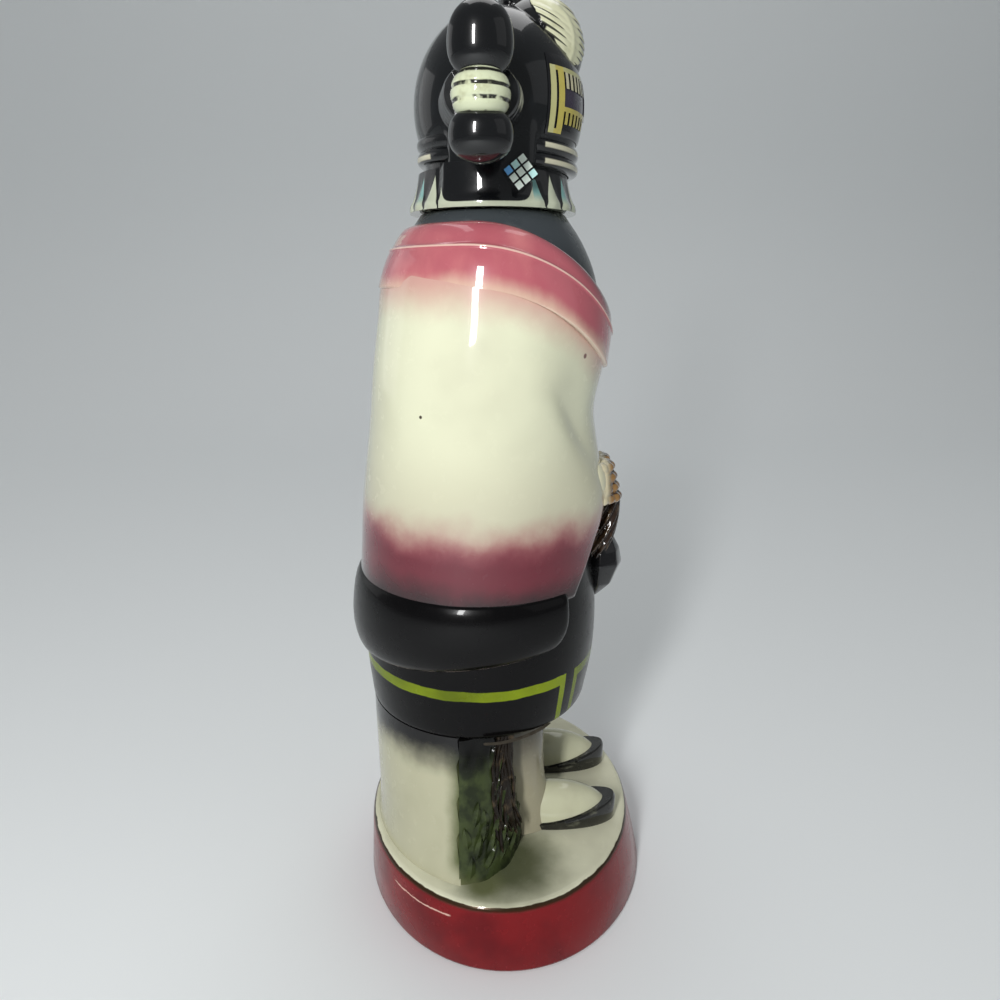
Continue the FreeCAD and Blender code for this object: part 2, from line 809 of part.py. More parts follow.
# Neck ring: two beads round the trunk.
RING_OUTER = "(head_diameter / 2 - ring_inset)"
ring_profile = [
    (TRUNK_RADIUS, "ring_gap"),
    (f"{RING_OUTER} - ring_groove", "ring_gap"),
    (RING_OUTER, "ring_gap + ring_groove"),
    (RING_OUTER, "ring_gap + ring_height / 2 - ring_groove"),
    (f"{RING_OUTER} - ring_groove", "ring_gap + ring_height / 2"),
    (RING_OUTER, "ring_gap + ring_height / 2 + ring_groove"),
    (RING_OUTER, "ring_gap + ring_height - ring_groove"),
    (f"{RING_OUTER} - ring_groove", "ring_gap + ring_height"),
    (TRUNK_RADIUS, "ring_gap + ring_height"),
]
ring_block = turned("ring_block", ring_profile, HEAD_SETBACK, HEAD_FOOT)
neck_ring = piece("neck_ring", cut("neck_ring", ring_block, head_outer))

# Mask: a thin curved plate over the front of the head, with a thin slip joint behind it.
mask_zone = block(
    "mask_zone",
    "-mask_width / 2",
    f"{HEAD_SETBACK} - head_diameter",
    f"{HEAD_FOOT} + ring_gap + ring_height",
    "mask_width",
    "head_diameter",
    "mask_height",
)
mask_seat_egg = dome("mask_seat_egg", "mask_seat")
mask_skin = cut("mask_skin", dome("mask_egg", "mask_thickness"), mask_seat_egg, trunk)
face_mask = piece("face_mask", cut("face_mask", common("mask_plate", mask_skin, mask_zone), neck_ring))

# Right hair whorl: a wrapped stub, two lobes and the tie that gathers them.
WHORL_Y = "(neck_setback + whorl_setback)"
WHORL_Z = f"({HEAD_FOOT} + whorl_centre_height)"
tie = ellipsoid(
    "right_tie", "tie_thickness / 2", "tie_width / 2", "tie_height / 2", "-whorl_reach", WHORL_Y, WHORL_Z
)
right_tie = piece("right_whorl_tie", tie)
upper_lobe = ellipsoid(
    "upper_lobe",
    "lobe_thickness / 2",
    "lobe_width / 2",
    "lobe_height / 2",
    "-whorl_reach",
    WHORL_Y,
    f"{WHORL_Z} + lobe_spacing / 2",
)
lower_lobe = ellipsoid(
    "lower_lobe",
    "lobe_thickness / 2",
    "lobe_width / 2",
    "lower_lobe_height / 2",
    "-whorl_reach",
    WHORL_Y,
    f"{WHORL_Z} - (lobe_spacing - lobe_height + lower_lobe_height) / 2",
)
right_lobes = cut("right_whorl_lobes", fuse("lobe_pair", upper_lobe, lower_lobe), right_tie)
piece("right_whorl_lobes", right_lobes)
stub = doc.addObject("Part::Cylinder", "stub")
stub.Placement.Rotation = FreeCAD.Rotation(FreeCAD.Vector(0, 1, 0), -90)
bind(stub, Radius="stub_diameter / 2", Height="stub_reach", y=WHORL_Y, z=WHORL_Z)
right_stub = cut("right_whorl_stub", stub, head_outer, ring_block, right_tie, right_lobes)
piece("right_whorl_stub", right_stub)
for side_label, side_source in (("tie", right_tie), ("lobes", right_lobes), ("stub", right_stub)):
    mirrored(f"left_whorl_{side_label}", side_source)

# Right ear tablet: a tilted square plate over the groove between collar and neck ring.
TABLET_TILT = 38
tablet_corner = "tablet_size / 2"
tablet = extruded(
    "tablet",
    [
        (f"-{tablet_corner}", f"-{tablet_corner}"),
        (tablet_corner, f"-{tablet_corner}"),
        (tablet_corner, tablet_corner),
        (f"-{tablet_corner}", tablet_corner),
    ],
    FreeCAD.Rotation(FreeCAD.Vector(1, 0, 0), TABLET_TILT) * FreeCAD.Rotation(FreeCAD.Vector(0, 1, 0), 90),
    x="-tablet_reach",
    y="neck_setback - tablet_forward",
    z=f"{LEDGE} + tablet_centre_height",
    length="tablet_thickness",
    both_ways=False,
)
right_tablet = piece("right_ear_tablet", cut("right_ear_tablet", tablet, collar, neck_ring, head_outer))
mirrored("left_ear_tablet", right_tablet)

# Crown knot and the two plumes in front of it, which swell over the forehead as halves of one egg.
KNOT_LIFT_SHARE = 0.2
knot = ellipsoid(
    "knot",
    "knot_diameter / 2",
    "knot_diameter / 2",
    "knot_height / 2",
    "0",
    f"{HEAD_SETBACK} - knot_diameter / 2",
    f"{HEAD_CENTRE} + head_dome + knot_height * {KNOT_LIFT_SHARE}",
)
crown_knot = piece("crown_knot", cut("crown_knot", knot, head_outer))
PLUME_Y = f"{HEAD_SETBACK} - plume_forward"
PLUME_Z = f"{HEAD_CENTRE} + plume_centre_height"
plume_egg = ellipsoid("plume_egg", "plume_height / 2", "plume_depth / 2", "plume_width", "0", PLUME_Y, PLUME_Z)
plume_egg.Placement.Rotation = FreeCAD.Rotation(FreeCAD.Vector(0, 1, 0), 90)
plume_side = block(
    "plume_side",
    "-overrun",
    f"{PLUME_Y} - overrun",
    f"{PLUME_Z} - overrun",
    "overrun",
    "2 * overrun",
    "2 * overrun",
)
plume_pair = cut("plume_pair", plume_egg, head_outer, face_mask, crown_knot)
right_plume = piece("right_plume", common("right_plume", plume_pair, plume_side))
mirrored("left_plume", right_plume)

doc.recompute()
failed = [thing.Name for thing in doc.Objects if "Invalid" in thing.State or "Error" in thing.State]
for thing in pieces:
    if thing.Shape.isNull() or not thing.Shape.isValid() or not thing.Shape.Solids:
        failed.append(thing.Label)
if failed:
    raise RuntimeError(f"failed: {failed}")
os.makedirs("parts", exist_ok=True)
for thing in pieces:
    thing.Shape.exportStep(f"parts/{thing.Label}.step")
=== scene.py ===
import math

import bmesh
import bpy
from mathutils import Matrix, Vector, noise


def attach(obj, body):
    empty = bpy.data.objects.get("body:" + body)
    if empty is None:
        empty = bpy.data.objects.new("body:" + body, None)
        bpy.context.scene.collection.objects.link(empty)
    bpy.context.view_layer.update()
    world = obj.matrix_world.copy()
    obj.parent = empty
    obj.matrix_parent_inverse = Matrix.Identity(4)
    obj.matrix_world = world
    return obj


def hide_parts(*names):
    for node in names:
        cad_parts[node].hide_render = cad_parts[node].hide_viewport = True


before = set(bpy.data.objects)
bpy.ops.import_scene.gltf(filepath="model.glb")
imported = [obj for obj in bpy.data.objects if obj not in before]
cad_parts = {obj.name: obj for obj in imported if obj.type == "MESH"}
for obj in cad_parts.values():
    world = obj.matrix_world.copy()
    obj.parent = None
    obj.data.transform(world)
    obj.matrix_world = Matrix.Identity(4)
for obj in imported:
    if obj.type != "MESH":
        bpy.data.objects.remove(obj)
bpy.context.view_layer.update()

# Setting: the figure stands on a pale seamless sheet that turns up behind it, and is seen from its
# right side, a little from above. One lamp behind the viewer draws the long highlight on the
# shoulder, and wide soft panels light the rest.
VIEW_PLACE = (-0.2845, 0.0, 0.230)
VIEW_PITCH = 15.1
viewer = bpy.data.cameras.new("viewer")
viewer.sensor_width = 36.0
viewer.lens = 27.36
viewer.clip_start = 0.01
camera = bpy.data.objects.new("viewer", viewer)
camera.location = VIEW_PLACE
camera.rotation_euler = (math.radians(90 - VIEW_PITCH), 0.0, math.radians(-90))
scene = bpy.context.scene
scene.collection.objects.link(camera)
scene.camera = camera
scene.view_settings.view_transform = "Standard"

SHEET_BEND = 0.9
SHEET_RADIUS = 0.5
sheet_net = bmesh.new()
bmesh.ops.create_grid(sheet_net, x_segments=48, y_segments=2, size=2.4)
for corner in sheet_net.verts:
    past = corner.co.x - SHEET_BEND
    if past > 0:
        turn = min(past / SHEET_RADIUS, math.pi / 2)
        corner.co.x = SHEET_BEND + SHEET_RADIUS * math.sin(turn)
        corner.co.z = SHEET_RADIUS * (1 - math.cos(turn)) + max(0.0, past - SHEET_RADIUS * math.pi / 2)
sheet_mesh = bpy.data.meshes.new("sheet")
sheet_net.to_mesh(sheet_mesh)
sheet_net.free()
sheet_mesh.shade_smooth()
sheet = bpy.data.objects.new("sheet", sheet_mesh)
scene.collection.objects.link(sheet)
paper = bpy.data.materials.new("pale_paper")
paper.use_nodes = True
paper.node_tree.nodes["Principled BSDF"].inputs["Base Color"].default_value = (0.84, 0.865, 0.87, 1.0)
paper.node_tree.nodes["Principled BSDF"].inputs["Roughness"].default_value = 0.9
sheet_mesh.materials.append(paper)

world = bpy.data.worlds.new("room")
world.use_nodes = True
world.node_tree.nodes["Background"].inputs["Color"].default_value = (0.80, 0.84, 0.86, 1.0)
world.node_tree.nodes["Background"].inputs["Strength"].default_value = 0.22
scene.world = world
for lamp_name, place, aim, width, height, power in (
    ("viewer_lamp", (-0.708, 0.225, 0.50), (0.0, 0.0, 0.2), 0.077, 0.34, 5.0),
    ("window", (0.9, 1.8, 0.70), (0.0, 0.0, 0.15), 1.2, 1.2, 2.0),
    ("front_panel", (-0.9, -2.0, 1.2), (0.0, 0.0, 0.15), 1.6, 1.6, 1.6),
    ("top_panel", (0.7, 0.0, 2.2), (0.0, 0.0, 0.15), 1.6, 1.6, 13.0),
):
    lamp = bpy.data.lights.new(lamp_name, "AREA")
    lamp.shape = "RECTANGLE"
    lamp.size = width
    lamp.size_y = height
    lamp.energy = power
    lamp_object = bpy.data.objects.new(lamp_name, lamp)
    lamp_object.location = place
    lamp_object.rotation_euler = (Vector(aim) - Vector(place)).to_track_quat("-Z", "Y").to_euler()
    scene.collection.objects.link(lamp_object)


# Plinth: an oval slip-cast block, cream on top, its spread side dipped in a dark red lustre that
# mirrors what it stands on. A worn olive line marks the top edge, and one long scratch the side.
def linear(red, green, blue):
    """A colour as it shows on a screen, from 0 to 255, turned into light."""
    shares = [value / 255 for value in (red, green, blue)]
    light = [share / 12.92 if share < 0.0405 else ((share + 0.055) / 1.055) ** 2.4 for share in shares]
    return (*light, 1.0)


def calc(operation, *values):
    """One sum of a finish: each value is a number or the outcome of another sum."""
    tree = next(value.id_data for value in values if isinstance(value, bpy.types.NodeSocket))
    sum_node = tree.nodes.new("ShaderNodeMath")
    sum_node.operation = operation
    for place, value in enumerate(values):
        if isinstance(value, bpy.types.NodeSocket):
            tree.links.new(value, sum_node.inputs[place])
        else:
            sum_node.inputs[place].default_value = value
    return sum_node.outputs[0]


def fade(value, low, high):
    """A soft step: 0 below low, 1 above high."""
    step = value.id_data.nodes.new("ShaderNodeMapRange")
    step.interpolation_type = "SMOOTHSTEP"
    value.id_data.links.new(value, step.inputs["Value"])
    step.inputs["From Min"].default_value = low
    step.inputs["From Max"].default_value = high
    return step.outputs["Result"]


def fall(value, low, high):
    """A soft step down: 1 below low, 0 above high."""
    return calc("SUBTRACT", 1.0, fade(value, low, high))


def times(first, second):
    return calc("MULTIPLY", first, second)


def minus(first, second):
    return calc("SUBTRACT", first, second)


def band(value, low, high, soft):
    """A stripe between two values with soft edges."""
    near_edge = fade(value, low - soft, low + soft)
    far_edge = fade(value, high - soft, high + soft)
    return minus(near_edge, far_edge)


def axes(finish):
    """The three coordinates of the object, as a finish reads them."""
    tree = finish.node_tree
    split = tree.nodes.get("object_axes")
    if split is None:
        split = tree.nodes.new("ShaderNodeSeparateXYZ")
        split.name = "object_axes"
        place = tree.nodes.new("ShaderNodeTexCoord")
        place.name = "object_place"
        tree.links.new(place.outputs["Object"], split.inputs[0])
    return split.outputs


def mottle(finish, scale, detail=3.0, stretch=(1.0, 1.0, 1.0)):
    """Cloudy variation fixed to the piece."""
    tree = finish.node_tree
    axes(finish)
    mapping = tree.nodes.new("ShaderNodeMapping")
    mapping.inputs["Scale"].default_value = stretch
    tree.links.new(tree.nodes["object_place"].outputs["Object"], mapping.inputs["Vector"])
    cloud = tree.nodes.new("ShaderNodeTexNoise")
    cloud.inputs["Scale"].default_value = scale
    cloud.inputs["Detail"].default_value = detail
    tree.links.new(mapping.outputs["Vector"], cloud.inputs["Vector"])
    return cloud.outputs["Fac"]


def paint(finish, mask, colour):
    """Lays a colour over what is already painted, where the mask says."""
    tree = finish.node_tree
    target = tree.nodes["Principled BSDF"].inputs["Base Color"]
    mix = tree.nodes.new("ShaderNodeMix")
    mix.data_type = "RGBA"
    if target.is_linked:
        tree.links.new(target.links[0].from_socket, mix.inputs[6])
    else:
        mix.inputs[6].default_value = target.default_value
    mix.inputs[7].default_value = colour
    if isinstance(mask, bpy.types.NodeSocket):
        tree.links.new(mask, mix.inputs[0])
    else:
        mix.inputs[0].default_value = mask
    tree.links.new(mix.outputs[2], target)


def patches(finish, colour, low, high, *cloud):
    """Cloudy patches of a second colour, as a dipped or brushed coat has."""
    paint(finish, fade(mottle(finish, *cloud), low, high), colour)


def glaze(name, colour, ripple=0.00018, gloss=1.0):
    """Fired glaze: colour under a clear coat, with the faint ripple of a dipped surface."""
    finish = bpy.data.materials.new(name)
    finish.use_nodes = True
    tree = finish.node_tree
    surface = tree.nodes["Principled BSDF"]
    surface.inputs["Base Color"].default_value = colour
    surface.inputs["Coat Weight"].default_value = gloss
    surface.inputs["Coat Roughness"].default_value = 0.04
    surface.inputs["Coat IOR"].default_value = 1.5
    surface.inputs["Specular IOR Level"].default_value = 0.12
    cloud = mottle(finish, 260.0)
    rough = tree.nodes.new("ShaderNodeMapRange")
    tree.links.new(cloud, rough.inputs["Value"])
    rough.inputs["To Min"].default_value = 0.16
    rough.inputs["To Max"].default_value = 0.34
    tree.links.new(rough.outputs["Result"], surface.inputs["Roughness"])
    bump = tree.nodes.new("ShaderNodeBump")
    bump.inputs["Strength"].default_value = 0.12
    bump.inputs["Distance"].default_value = ripple
    tree.links.new(mottle(finish, 120.0, 2.0), bump.inputs["Height"])
    tree.links.new(bump.outputs["Normal"], surface.inputs["Normal"])
    tree.links.new(bump.outputs["Normal"], surface.inputs["Coat Normal"])
    return finish


def cast_piece(name, net, *finishes, crease=50.0):
    """Turns a finished net into a piece that stands at the origin."""
    mesh = bpy.data.meshes.new(name)
    net.to_mesh(mesh)
    net.free()
    for finish in finishes:
        mesh.materials.append(finish)
    mesh.shade_smooth()
    mesh.set_sharp_from_angle(angle=math.radians(crease))
    made = bpy.data.objects.new(name, mesh)
    scene.collection.objects.link(made)
    return made


def oval_cap(net, cap, x, y, z, half_width, half_depth):
    """Draws a cap out to the next oval of a solid and returns the new cap."""
    first = len(net.faces) == 1
    drawn = bmesh.ops.extrude_face_region(net, geom=[cap])["geom"]
    if not first:
        bmesh.ops.delete(net, geom=[cap], context="FACES_ONLY")
    cap = next(part for part in drawn if isinstance(part, bmesh.types.BMFace))
    wide = [corner.co.x for corner in cap.verts]
    deep = [corner.co.y for corner in cap.verts]
    middle = Vector(((max(wide) + min(wide)) / 2, (max(deep) + min(deep)) / 2, 0.0))
    width_ratio = 2 * half_width / (max(wide) - min(wide))
    depth_ratio = 2 * half_depth / (max(deep) - min(deep))
    for corner in cap.verts:
        corner.co.x = x + (corner.co.x - middle.x) * width_ratio
        corner.co.y = y + (corner.co.y - middle.y) * depth_ratio
        corner.co.z = z
    return cap


def oval_stack(rings, segments):
    """A closed solid drawn through ovals: x, y, height, half width and half depth of each."""
    net = bmesh.new()
    bmesh.ops.create_circle(net, cap_ends=True, segments=segments, radius=1.0)
    cap = net.faces[:][0]
    x, y, z, half_width, half_depth = rings[0]
    bmesh.ops.scale(net, verts=net.verts, vec=(half_width, half_depth, 1.0))
    bmesh.ops.translate(net, verts=net.verts, vec=(x, y, z))
    for ring in rings[1:]:
        cap = oval_cap(net, cap, *ring)
    bmesh.ops.recalc_face_normals(net, faces=net.faces)
    return net


plinth_net = oval_stack(
    (
        (0.0, -0.00225, 0.0, 0.0690, 0.05575),
        (0.0, -0.00222, 0.0004, 0.0697, 0.05645),
        (0.0, -0.00216, 0.0012, 0.06998, 0.0567),
        (0.0, -0.0012, 0.0120, 0.0693, 0.0552),
        (0.0, -0.0001, 0.0226, 0.0686, 0.0536),
        (0.0, 0.0, 0.0242, 0.0682, 0.0532),
        (0.0, 0.0, 0.0253, 0.0675, 0.0525),
        (0.0, 0.0, 0.0259, 0.0666, 0.0516),
        (0.0, 0.0, 0.0260, 0.0656, 0.0506),
        (0.0, 0.0, 0.0260, 0.0560, 0.0420),
    ),
    192,
)
plinth_glaze = glaze("plinth_glaze", linear(222, 221, 194), gloss=0.3)
x_axis, y_axis, z_axis = axes(plinth_glaze)
patches(plinth_glaze, linear(205, 203, 178), 0.45, 0.75, 30.0)
# Green spray on the plinth top round the foot of the bough. The wider patch beside the bough is darker, as
# painted shadow of the bough over the spray; the small one carries the green out to the leaf tip.
for shade_and_spray_x, shade_and_spray_y, grain, sway, near, far, colour in (
    (-0.047, -0.0030, 90.0, 0.010, 0.013, 0.034, linear(92, 96, 70)),
    (-0.058, 0.0060, 160.0, 0.003, 0.0040, 0.0120, linear(106, 110, 76)),
):
    across, deep = minus(x_axis, shade_and_spray_x), minus(y_axis, shade_and_spray_y)
    across_square, deep_square = times(across, across), times(deep, deep)
    shade_and_spray_gap = calc("SQRT", calc("ADD", across_square, deep_square))
    shade_and_spray = calc("MULTIPLY_ADD", mottle(plinth_glaze, grain), sway, shade_and_spray_gap)
    paint(plinth_glaze, fall(shade_and_spray, near, far), colour)
edge_wave = calc("MULTIPLY_ADD", mottle(plinth_glaze, 140.0), 0.0010, z_axis)
lustre_mask = fall(edge_wave, 0.02565, 0.02590)
paint(plinth_glaze, lustre_mask, linear(58, 42, 26))
side_mask = fall(edge_wave, 0.0236, 0.0251)
paint(plinth_glaze, side_mask, linear(130, 18, 24))
side_cloud = times(side_mask, fade(mottle(plinth_glaze, 55.0), 0.4, 0.7))
paint(plinth_glaze, side_cloud, linear(108, 12, 20))
scratch_line = calc("MULTIPLY_ADD", y_axis, 0.046, -0.0203)
scratch_height = calc("ADD", z_axis, scratch_line)
scratch_wave = calc("MULTIPLY_ADD", mottle(plinth_glaze, 420.0), 0.0016, -0.0008)
scratch_gap = calc("ABSOLUTE", calc("ADD", scratch_height, scratch_wave))
scratch_core = fall(scratch_gap, 0.00018, 0.00042)
scratch_run = band(y_axis, 0.0176, 0.0392, 0.0006)
scratch_side = calc("LESS_THAN", x_axis, 0.0)
scratch_mask = times(times(scratch_core, scratch_run), scratch_side)
paint(plinth_glaze, scratch_mask, linear(214, 176, 160))
lustre = minus(times(lustre_mask, 0.3), scratch_mask)
plinth_tree = plinth_glaze.node_tree
plinth_tree.links.new(calc("MAXIMUM", lustre, 0.0), plinth_tree.nodes["Principled BSDF"].inputs["Metallic"])
plinth = cast_piece("glazed_plinth", plinth_net, plinth_glaze)
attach(plinth, "decanter")
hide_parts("plinth")


# Leg column: the wide cream block that carries the figure behind its boots, luted to the plinth.
# Black is sprayed down onto it from the hem and fades out.
COLUMN_FOOT = (0.0, 0.0, 0.0258, 0.0595, 0.0500)
COLUMN_TOP = (0.0, 0.00875, 0.0775, 0.0459, 0.0424)
COLUMN_FRONT, COLUMN_FLARE, COLUMN_ROUNDING = 0.014, 0.0012, 0.0028
column_rings = []
for step in range(9):
    share = step / 8
    flare = COLUMN_FLARE * max(0.0, 1 - share / 0.16) ** 2
    ring = [low + (high - low) * share for low, high in zip(COLUMN_FOOT, COLUMN_TOP)]
    column_rings.append((ring[0], ring[1], ring[2], ring[3] + flare, ring[4] + flare))
column_net = oval_stack(column_rings, 160)


def cut_off(net, place, way):
    """Cuts away what lies past a plane and closes the cut."""
    everything = net.verts[:] + net.edges[:] + net.faces[:]
    bmesh.ops.bisect_plane(net, geom=everything, plane_co=place, plane_no=way, clear_outer=True)
    bmesh.ops.holes_fill(net, edges=net.edges)


cut_off(column_net, (0.0, COLUMN_FRONT, 0.0), (0.0, -1.0, 0.0))
bmesh.ops.recalc_face_normals(column_net, faces=column_net.faces)
front_edges = []
for edge in column_net.edges:
    at_front = all(abs(corner.co.y - COLUMN_FRONT) < 0.0001 for corner in edge.verts)
    upright = abs(edge.verts[0].co.z - edge.verts[1].co.z) > 0.002
    if at_front and upright:
        front_edges.append(edge)
bmesh.ops.bevel(
    column_net, geom=front_edges, offset=COLUMN_ROUNDING, segments=5, profile=0.5, affect="EDGES", material=-1
)
# The column's cream is painted darker than the robe's, as painted shade for the weaker light low on the
# figure.
shaded_column_glaze = glaze("shaded_column_glaze", linear(184, 182, 154), gloss=0.5)
x_axis, y_axis, z_axis = axes(shaded_column_glaze)
patches(shaded_column_glaze, linear(166, 164, 136), 0.45, 0.8, 28.0)
leaf_edge = calc("MULTIPLY_ADD", mottle(shaded_column_glaze, 110.0), 0.004, y_axis)
leaf_side = fall(leaf_edge, 0.0156, 0.0230)
leaf_side = times(leaf_side, calc("LESS_THAN", x_axis, -0.030))
paint(shaded_column_glaze, times(leaf_side, fade(z_axis, 0.0262, 0.0340)), linear(84, 92, 50))
spray = calc("MULTIPLY_ADD", mottle(shaded_column_glaze, 70.0, 5.0), 0.012, z_axis)
paint(shaded_column_glaze, fade(spray, 0.0665, 0.0800), linear(15, 14, 15))
column = cast_piece("glazed_column", column_net, shaded_column_glaze)
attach(column, "decanter")
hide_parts("leg_column")


# Boots, moccasins and soles: plain cream leggings with soft shoes, each on a black sole that is
# thickest at the toe. They are cast on each side of the middle and luted to the plinth.
BOOT_SPREAD, FOOT_MIDDLE = 0.0185, -0.0215
SOLE_BED, SOLE_DRAWN, SOLE_HEEL, SOLE_TOE = 0.0260, 0.0328, 0.0272, 0.0362
SHOE_BED, SHOE_HALF = 0.0262, (0.0099, 0.0239, 0.0148)
# The boots are painted a darker cream than the robe, as painted shade low on the figure, and darken further
# towards the hem: a dark spray, deepened as painted shade under the dress.
sprayed_shaded_boot_glaze = glaze("sprayed_shaded_boot_glaze", linear(166, 160, 136), gloss=0.6)
z_axis = axes(sprayed_shaded_boot_glaze)["Z"]
boot_spray_and_shade = calc("MULTIPLY_ADD", mottle(sprayed_shaded_boot_glaze, 80.0, 4.0), 0.010, z_axis)
paint(sprayed_shaded_boot_glaze, fade(boot_spray_and_shade, 0.044, 0.082), linear(62, 58, 50))
# The moccasins' cream is painted darker than the plinth top they stand on, as painted shade for the weaker
# light low down.
shaded_moccasin_glaze = glaze("shaded_moccasin_glaze", linear(202, 202, 172))
patches(shaded_moccasin_glaze, linear(186, 184, 156), 0.5, 0.8, 60.0)
sole_glaze = glaze("sole_glaze", linear(30, 30, 27))
patches(sole_glaze, linear(86, 86, 74), 0.55, 0.75, 200.0, 4.0, (1.0, 1.0, 2.0))


def clamped(share):
    """A share held between nothing and the whole."""
    return min(max(share, 0.0), 1.0)


for side_name, side in (("right", -1), ("left", 1)):
    foot_x = BOOT_SPREAD * side
    boot_rings = []
    for height, half_width, half_depth in (
        (0.0262, 0.0140, 0.0205),
        (0.0350, 0.0123, 0.0173),
        (0.0440, 0.0115, 0.0154),
        (0.0560, 0.0121, 0.0147),
        (0.0690, 0.0131, 0.0148),
        (0.0775, 0.0135, 0.0150),
    ):
        boot_rings.append((foot_x, -0.0025, height, half_width, half_depth))
    boot_net = oval_stack(boot_rings, 64)
    cut_off(boot_net, (0.0, COLUMN_FRONT, 0.0), (0.0, 1.0, 0.0))
    bmesh.ops.recalc_face_normals(boot_net, faces=boot_net.faces)
    boot = cast_piece(f"glazed_{side_name}_boot", boot_net, sprayed_shaded_boot_glaze)
    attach(boot, "decanter")
    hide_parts(f"{side_name}_boot")

    sole_net = oval_stack(
        (
            (foot_x, FOOT_MIDDLE, 0.0259, 0.0101, 0.0246),
            (foot_x, FOOT_MIDDLE, 0.0265, 0.0105, 0.0250),
            (foot_x, FOOT_MIDDLE, 0.0320, 0.0105, 0.0250),
            (foot_x, FOOT_MIDDLE, SOLE_DRAWN, 0.0099, 0.0244),
            (foot_x, FOOT_MIDDLE, SOLE_DRAWN, 0.0070, 0.0200),
        ),
        64,
    )
    for corner in sole_net.verts:
        toe_share = clamped((0.0035 - corner.co.y) / 0.050)
        top = SOLE_HEEL + (SOLE_TOE - SOLE_HEEL) * toe_share**2
        corner.co.z = SOLE_BED + (corner.co.z - SOLE_BED) * (top - SOLE_BED) / (SOLE_DRAWN - SOLE_BED)
    sole = cast_piece(f"glazed_{side_name}_sole", sole_net, sole_glaze)
    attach(sole, "decanter")
    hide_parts(f"{side_name}_sole")

    shoe_net = bmesh.new()
    bmesh.ops.create_uvsphere(shoe_net, u_segments=64, v_segments=40, radius=1.0)
    bmesh.ops.scale(shoe_net, verts=shoe_net.verts, vec=SHOE_HALF)
    bmesh.ops.translate(shoe_net, verts=shoe_net.verts, vec=(foot_x, FOOT_MIDDLE, SHOE_BED))
    for corner in shoe_net.verts:
        toe_share = clamped((-0.010 - corner.co.y) / 0.0375)
        corner.co.x = foot_x + (corner.co.x - foot_x) * (1 - 0.10 * toe_share ** 3)
    cut_off(shoe_net, (0.0, 0.0, SHOE_BED), (0.0, 0.0, -1.0))
    bmesh.ops.recalc_face_normals(shoe_net, faces=shoe_net.faces)
    shoe = cast_piece(f"glazed_{side_name}_moccasin", shoe_net, shaded_moccasin_glaze)
    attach(shoe, "decanter")
    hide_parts(f"{side_name}_moccasin")


# Evergreen bough: a clump of carved leaves in the corner between column and right boot, sprayed
# dark green and black at the top, and luted to both.
BOUGH_FOOT, BOUGH_RISE, LEAF_LENGTH, LEAF_WIDTH = 0.0258, 0.0510, 0.0112, 0.0034
BOUGH_BACK, BOUGH_MIDDLE, BOUGH_INNER = COLUMN_FRONT + 0.0006, -0.0260, -0.0200


def bough_spread(height):
    """How far the clump reaches out to the side and to the front at one height."""
    share = clamped((height - BOUGH_FOOT) / BOUGH_RISE)
    return 0.0318 - 0.0116 * share, 0.0235 * (1 - 0.32 * share)


bough_rings = []
for step in range(18):
    height = BOUGH_FOOT + BOUGH_RISE * step / 17
    bough_rings.append((BOUGH_MIDDLE, BOUGH_BACK, height, *bough_spread(height)))
bough_net = oval_stack(bough_rings, 200)
cut_off(bough_net, (0.0, BOUGH_BACK, 0.0), (0.0, 1.0, 0.0))
cut_off(bough_net, (BOUGH_INNER, 0.0, 0.0), (1.0, 0.0, 0.0))
for corner in bough_net.verts:
    flow = Vector((corner.co.x * 150, corner.co.y * 150 + corner.co.z * 80, corner.co.z * 60))
    free = min(1.0, (BOUGH_BACK - corner.co.y) / 0.004)
    push = noise.noise(flow) * 0.0011 + noise.noise(flow * 2.3) * 0.0005
    corner.co += Vector((-1.0, -0.5, 0.0)) * push * max(0.0, free)
bmesh.ops.recalc_face_normals(bough_net, faces=bough_net.faces)


def laid_leaf(net, place, turn, lean, length, width):
    """One carved leaf on the side of the clump: a pointed blade with a raised rib, bowed outwards."""
    blade = bmesh.ops.create_grid(net, x_segments=4, y_segments=9, size=0.5)["verts"]
    way = Matrix(((0.0, 0.0, -1.0), (1.0, 0.0, 0.0), (0.0, 1.0, 0.0))) @ Matrix.Rotation(lean, 3, "Z")
    way = Matrix.Rotation(turn, 3, "Z") @ way
    for corner in blade:
        across, along = corner.co.x * 2, corner.co.y + 0.5
        half = width / 2 * math.sin(math.pi * min(1.0, along * 0.93 + 0.07)) ** 0.8
        rise = 0.0008 * (1 - abs(across)) - 0.0006 + 0.0007 * math.sin(math.pi * along)
        corner.co = way @ Vector((across * half + 0.0012 * along**2, (along - 0.5) * length, rise))
    bmesh.ops.translate(net, verts=blade, vec=place)


for row in range(7):
    for leaf_number in range(5):
        sway = noise.noise(Vector((row * 3.1, leaf_number * 2.7, 0.5)))
        turn = math.radians(12 + 15 * leaf_number + 6 * (row % 2) + 8 * sway)
        height = BOUGH_FOOT + 0.0050 + 0.0060 * row + 0.0030 * sway
        if row > 3 and turn < math.radians(38):
            continue
        reach, depth = bough_spread(height)
        laid_leaf(
            bough_net,
            (BOUGH_MIDDLE - reach * math.cos(turn), BOUGH_BACK - depth * math.sin(turn), height),
            turn,
            math.radians(16 + 9 * leaf_number + 34 * sway),
            LEAF_LENGTH + 0.0030 * sway,
            LEAF_WIDTH,
        )
for corner in bough_net.verts:
    corner.co.z = max(corner.co.z, 0.0257)
bough_glaze = glaze("bough_glaze", linear(62, 72, 40), ripple=0.0005, gloss=0.2)
_, y_axis, z_axis = axes(bough_glaze)
patches(bough_glaze, linear(36, 43, 24), 0.42, 0.62, 140.0, 5.0)
patches(bough_glaze, linear(78, 80, 52), 0.55, 0.75, 45.0)
low_spray = calc("MULTIPLY_ADD", mottle(bough_glaze, 90.0), 0.010, z_axis)
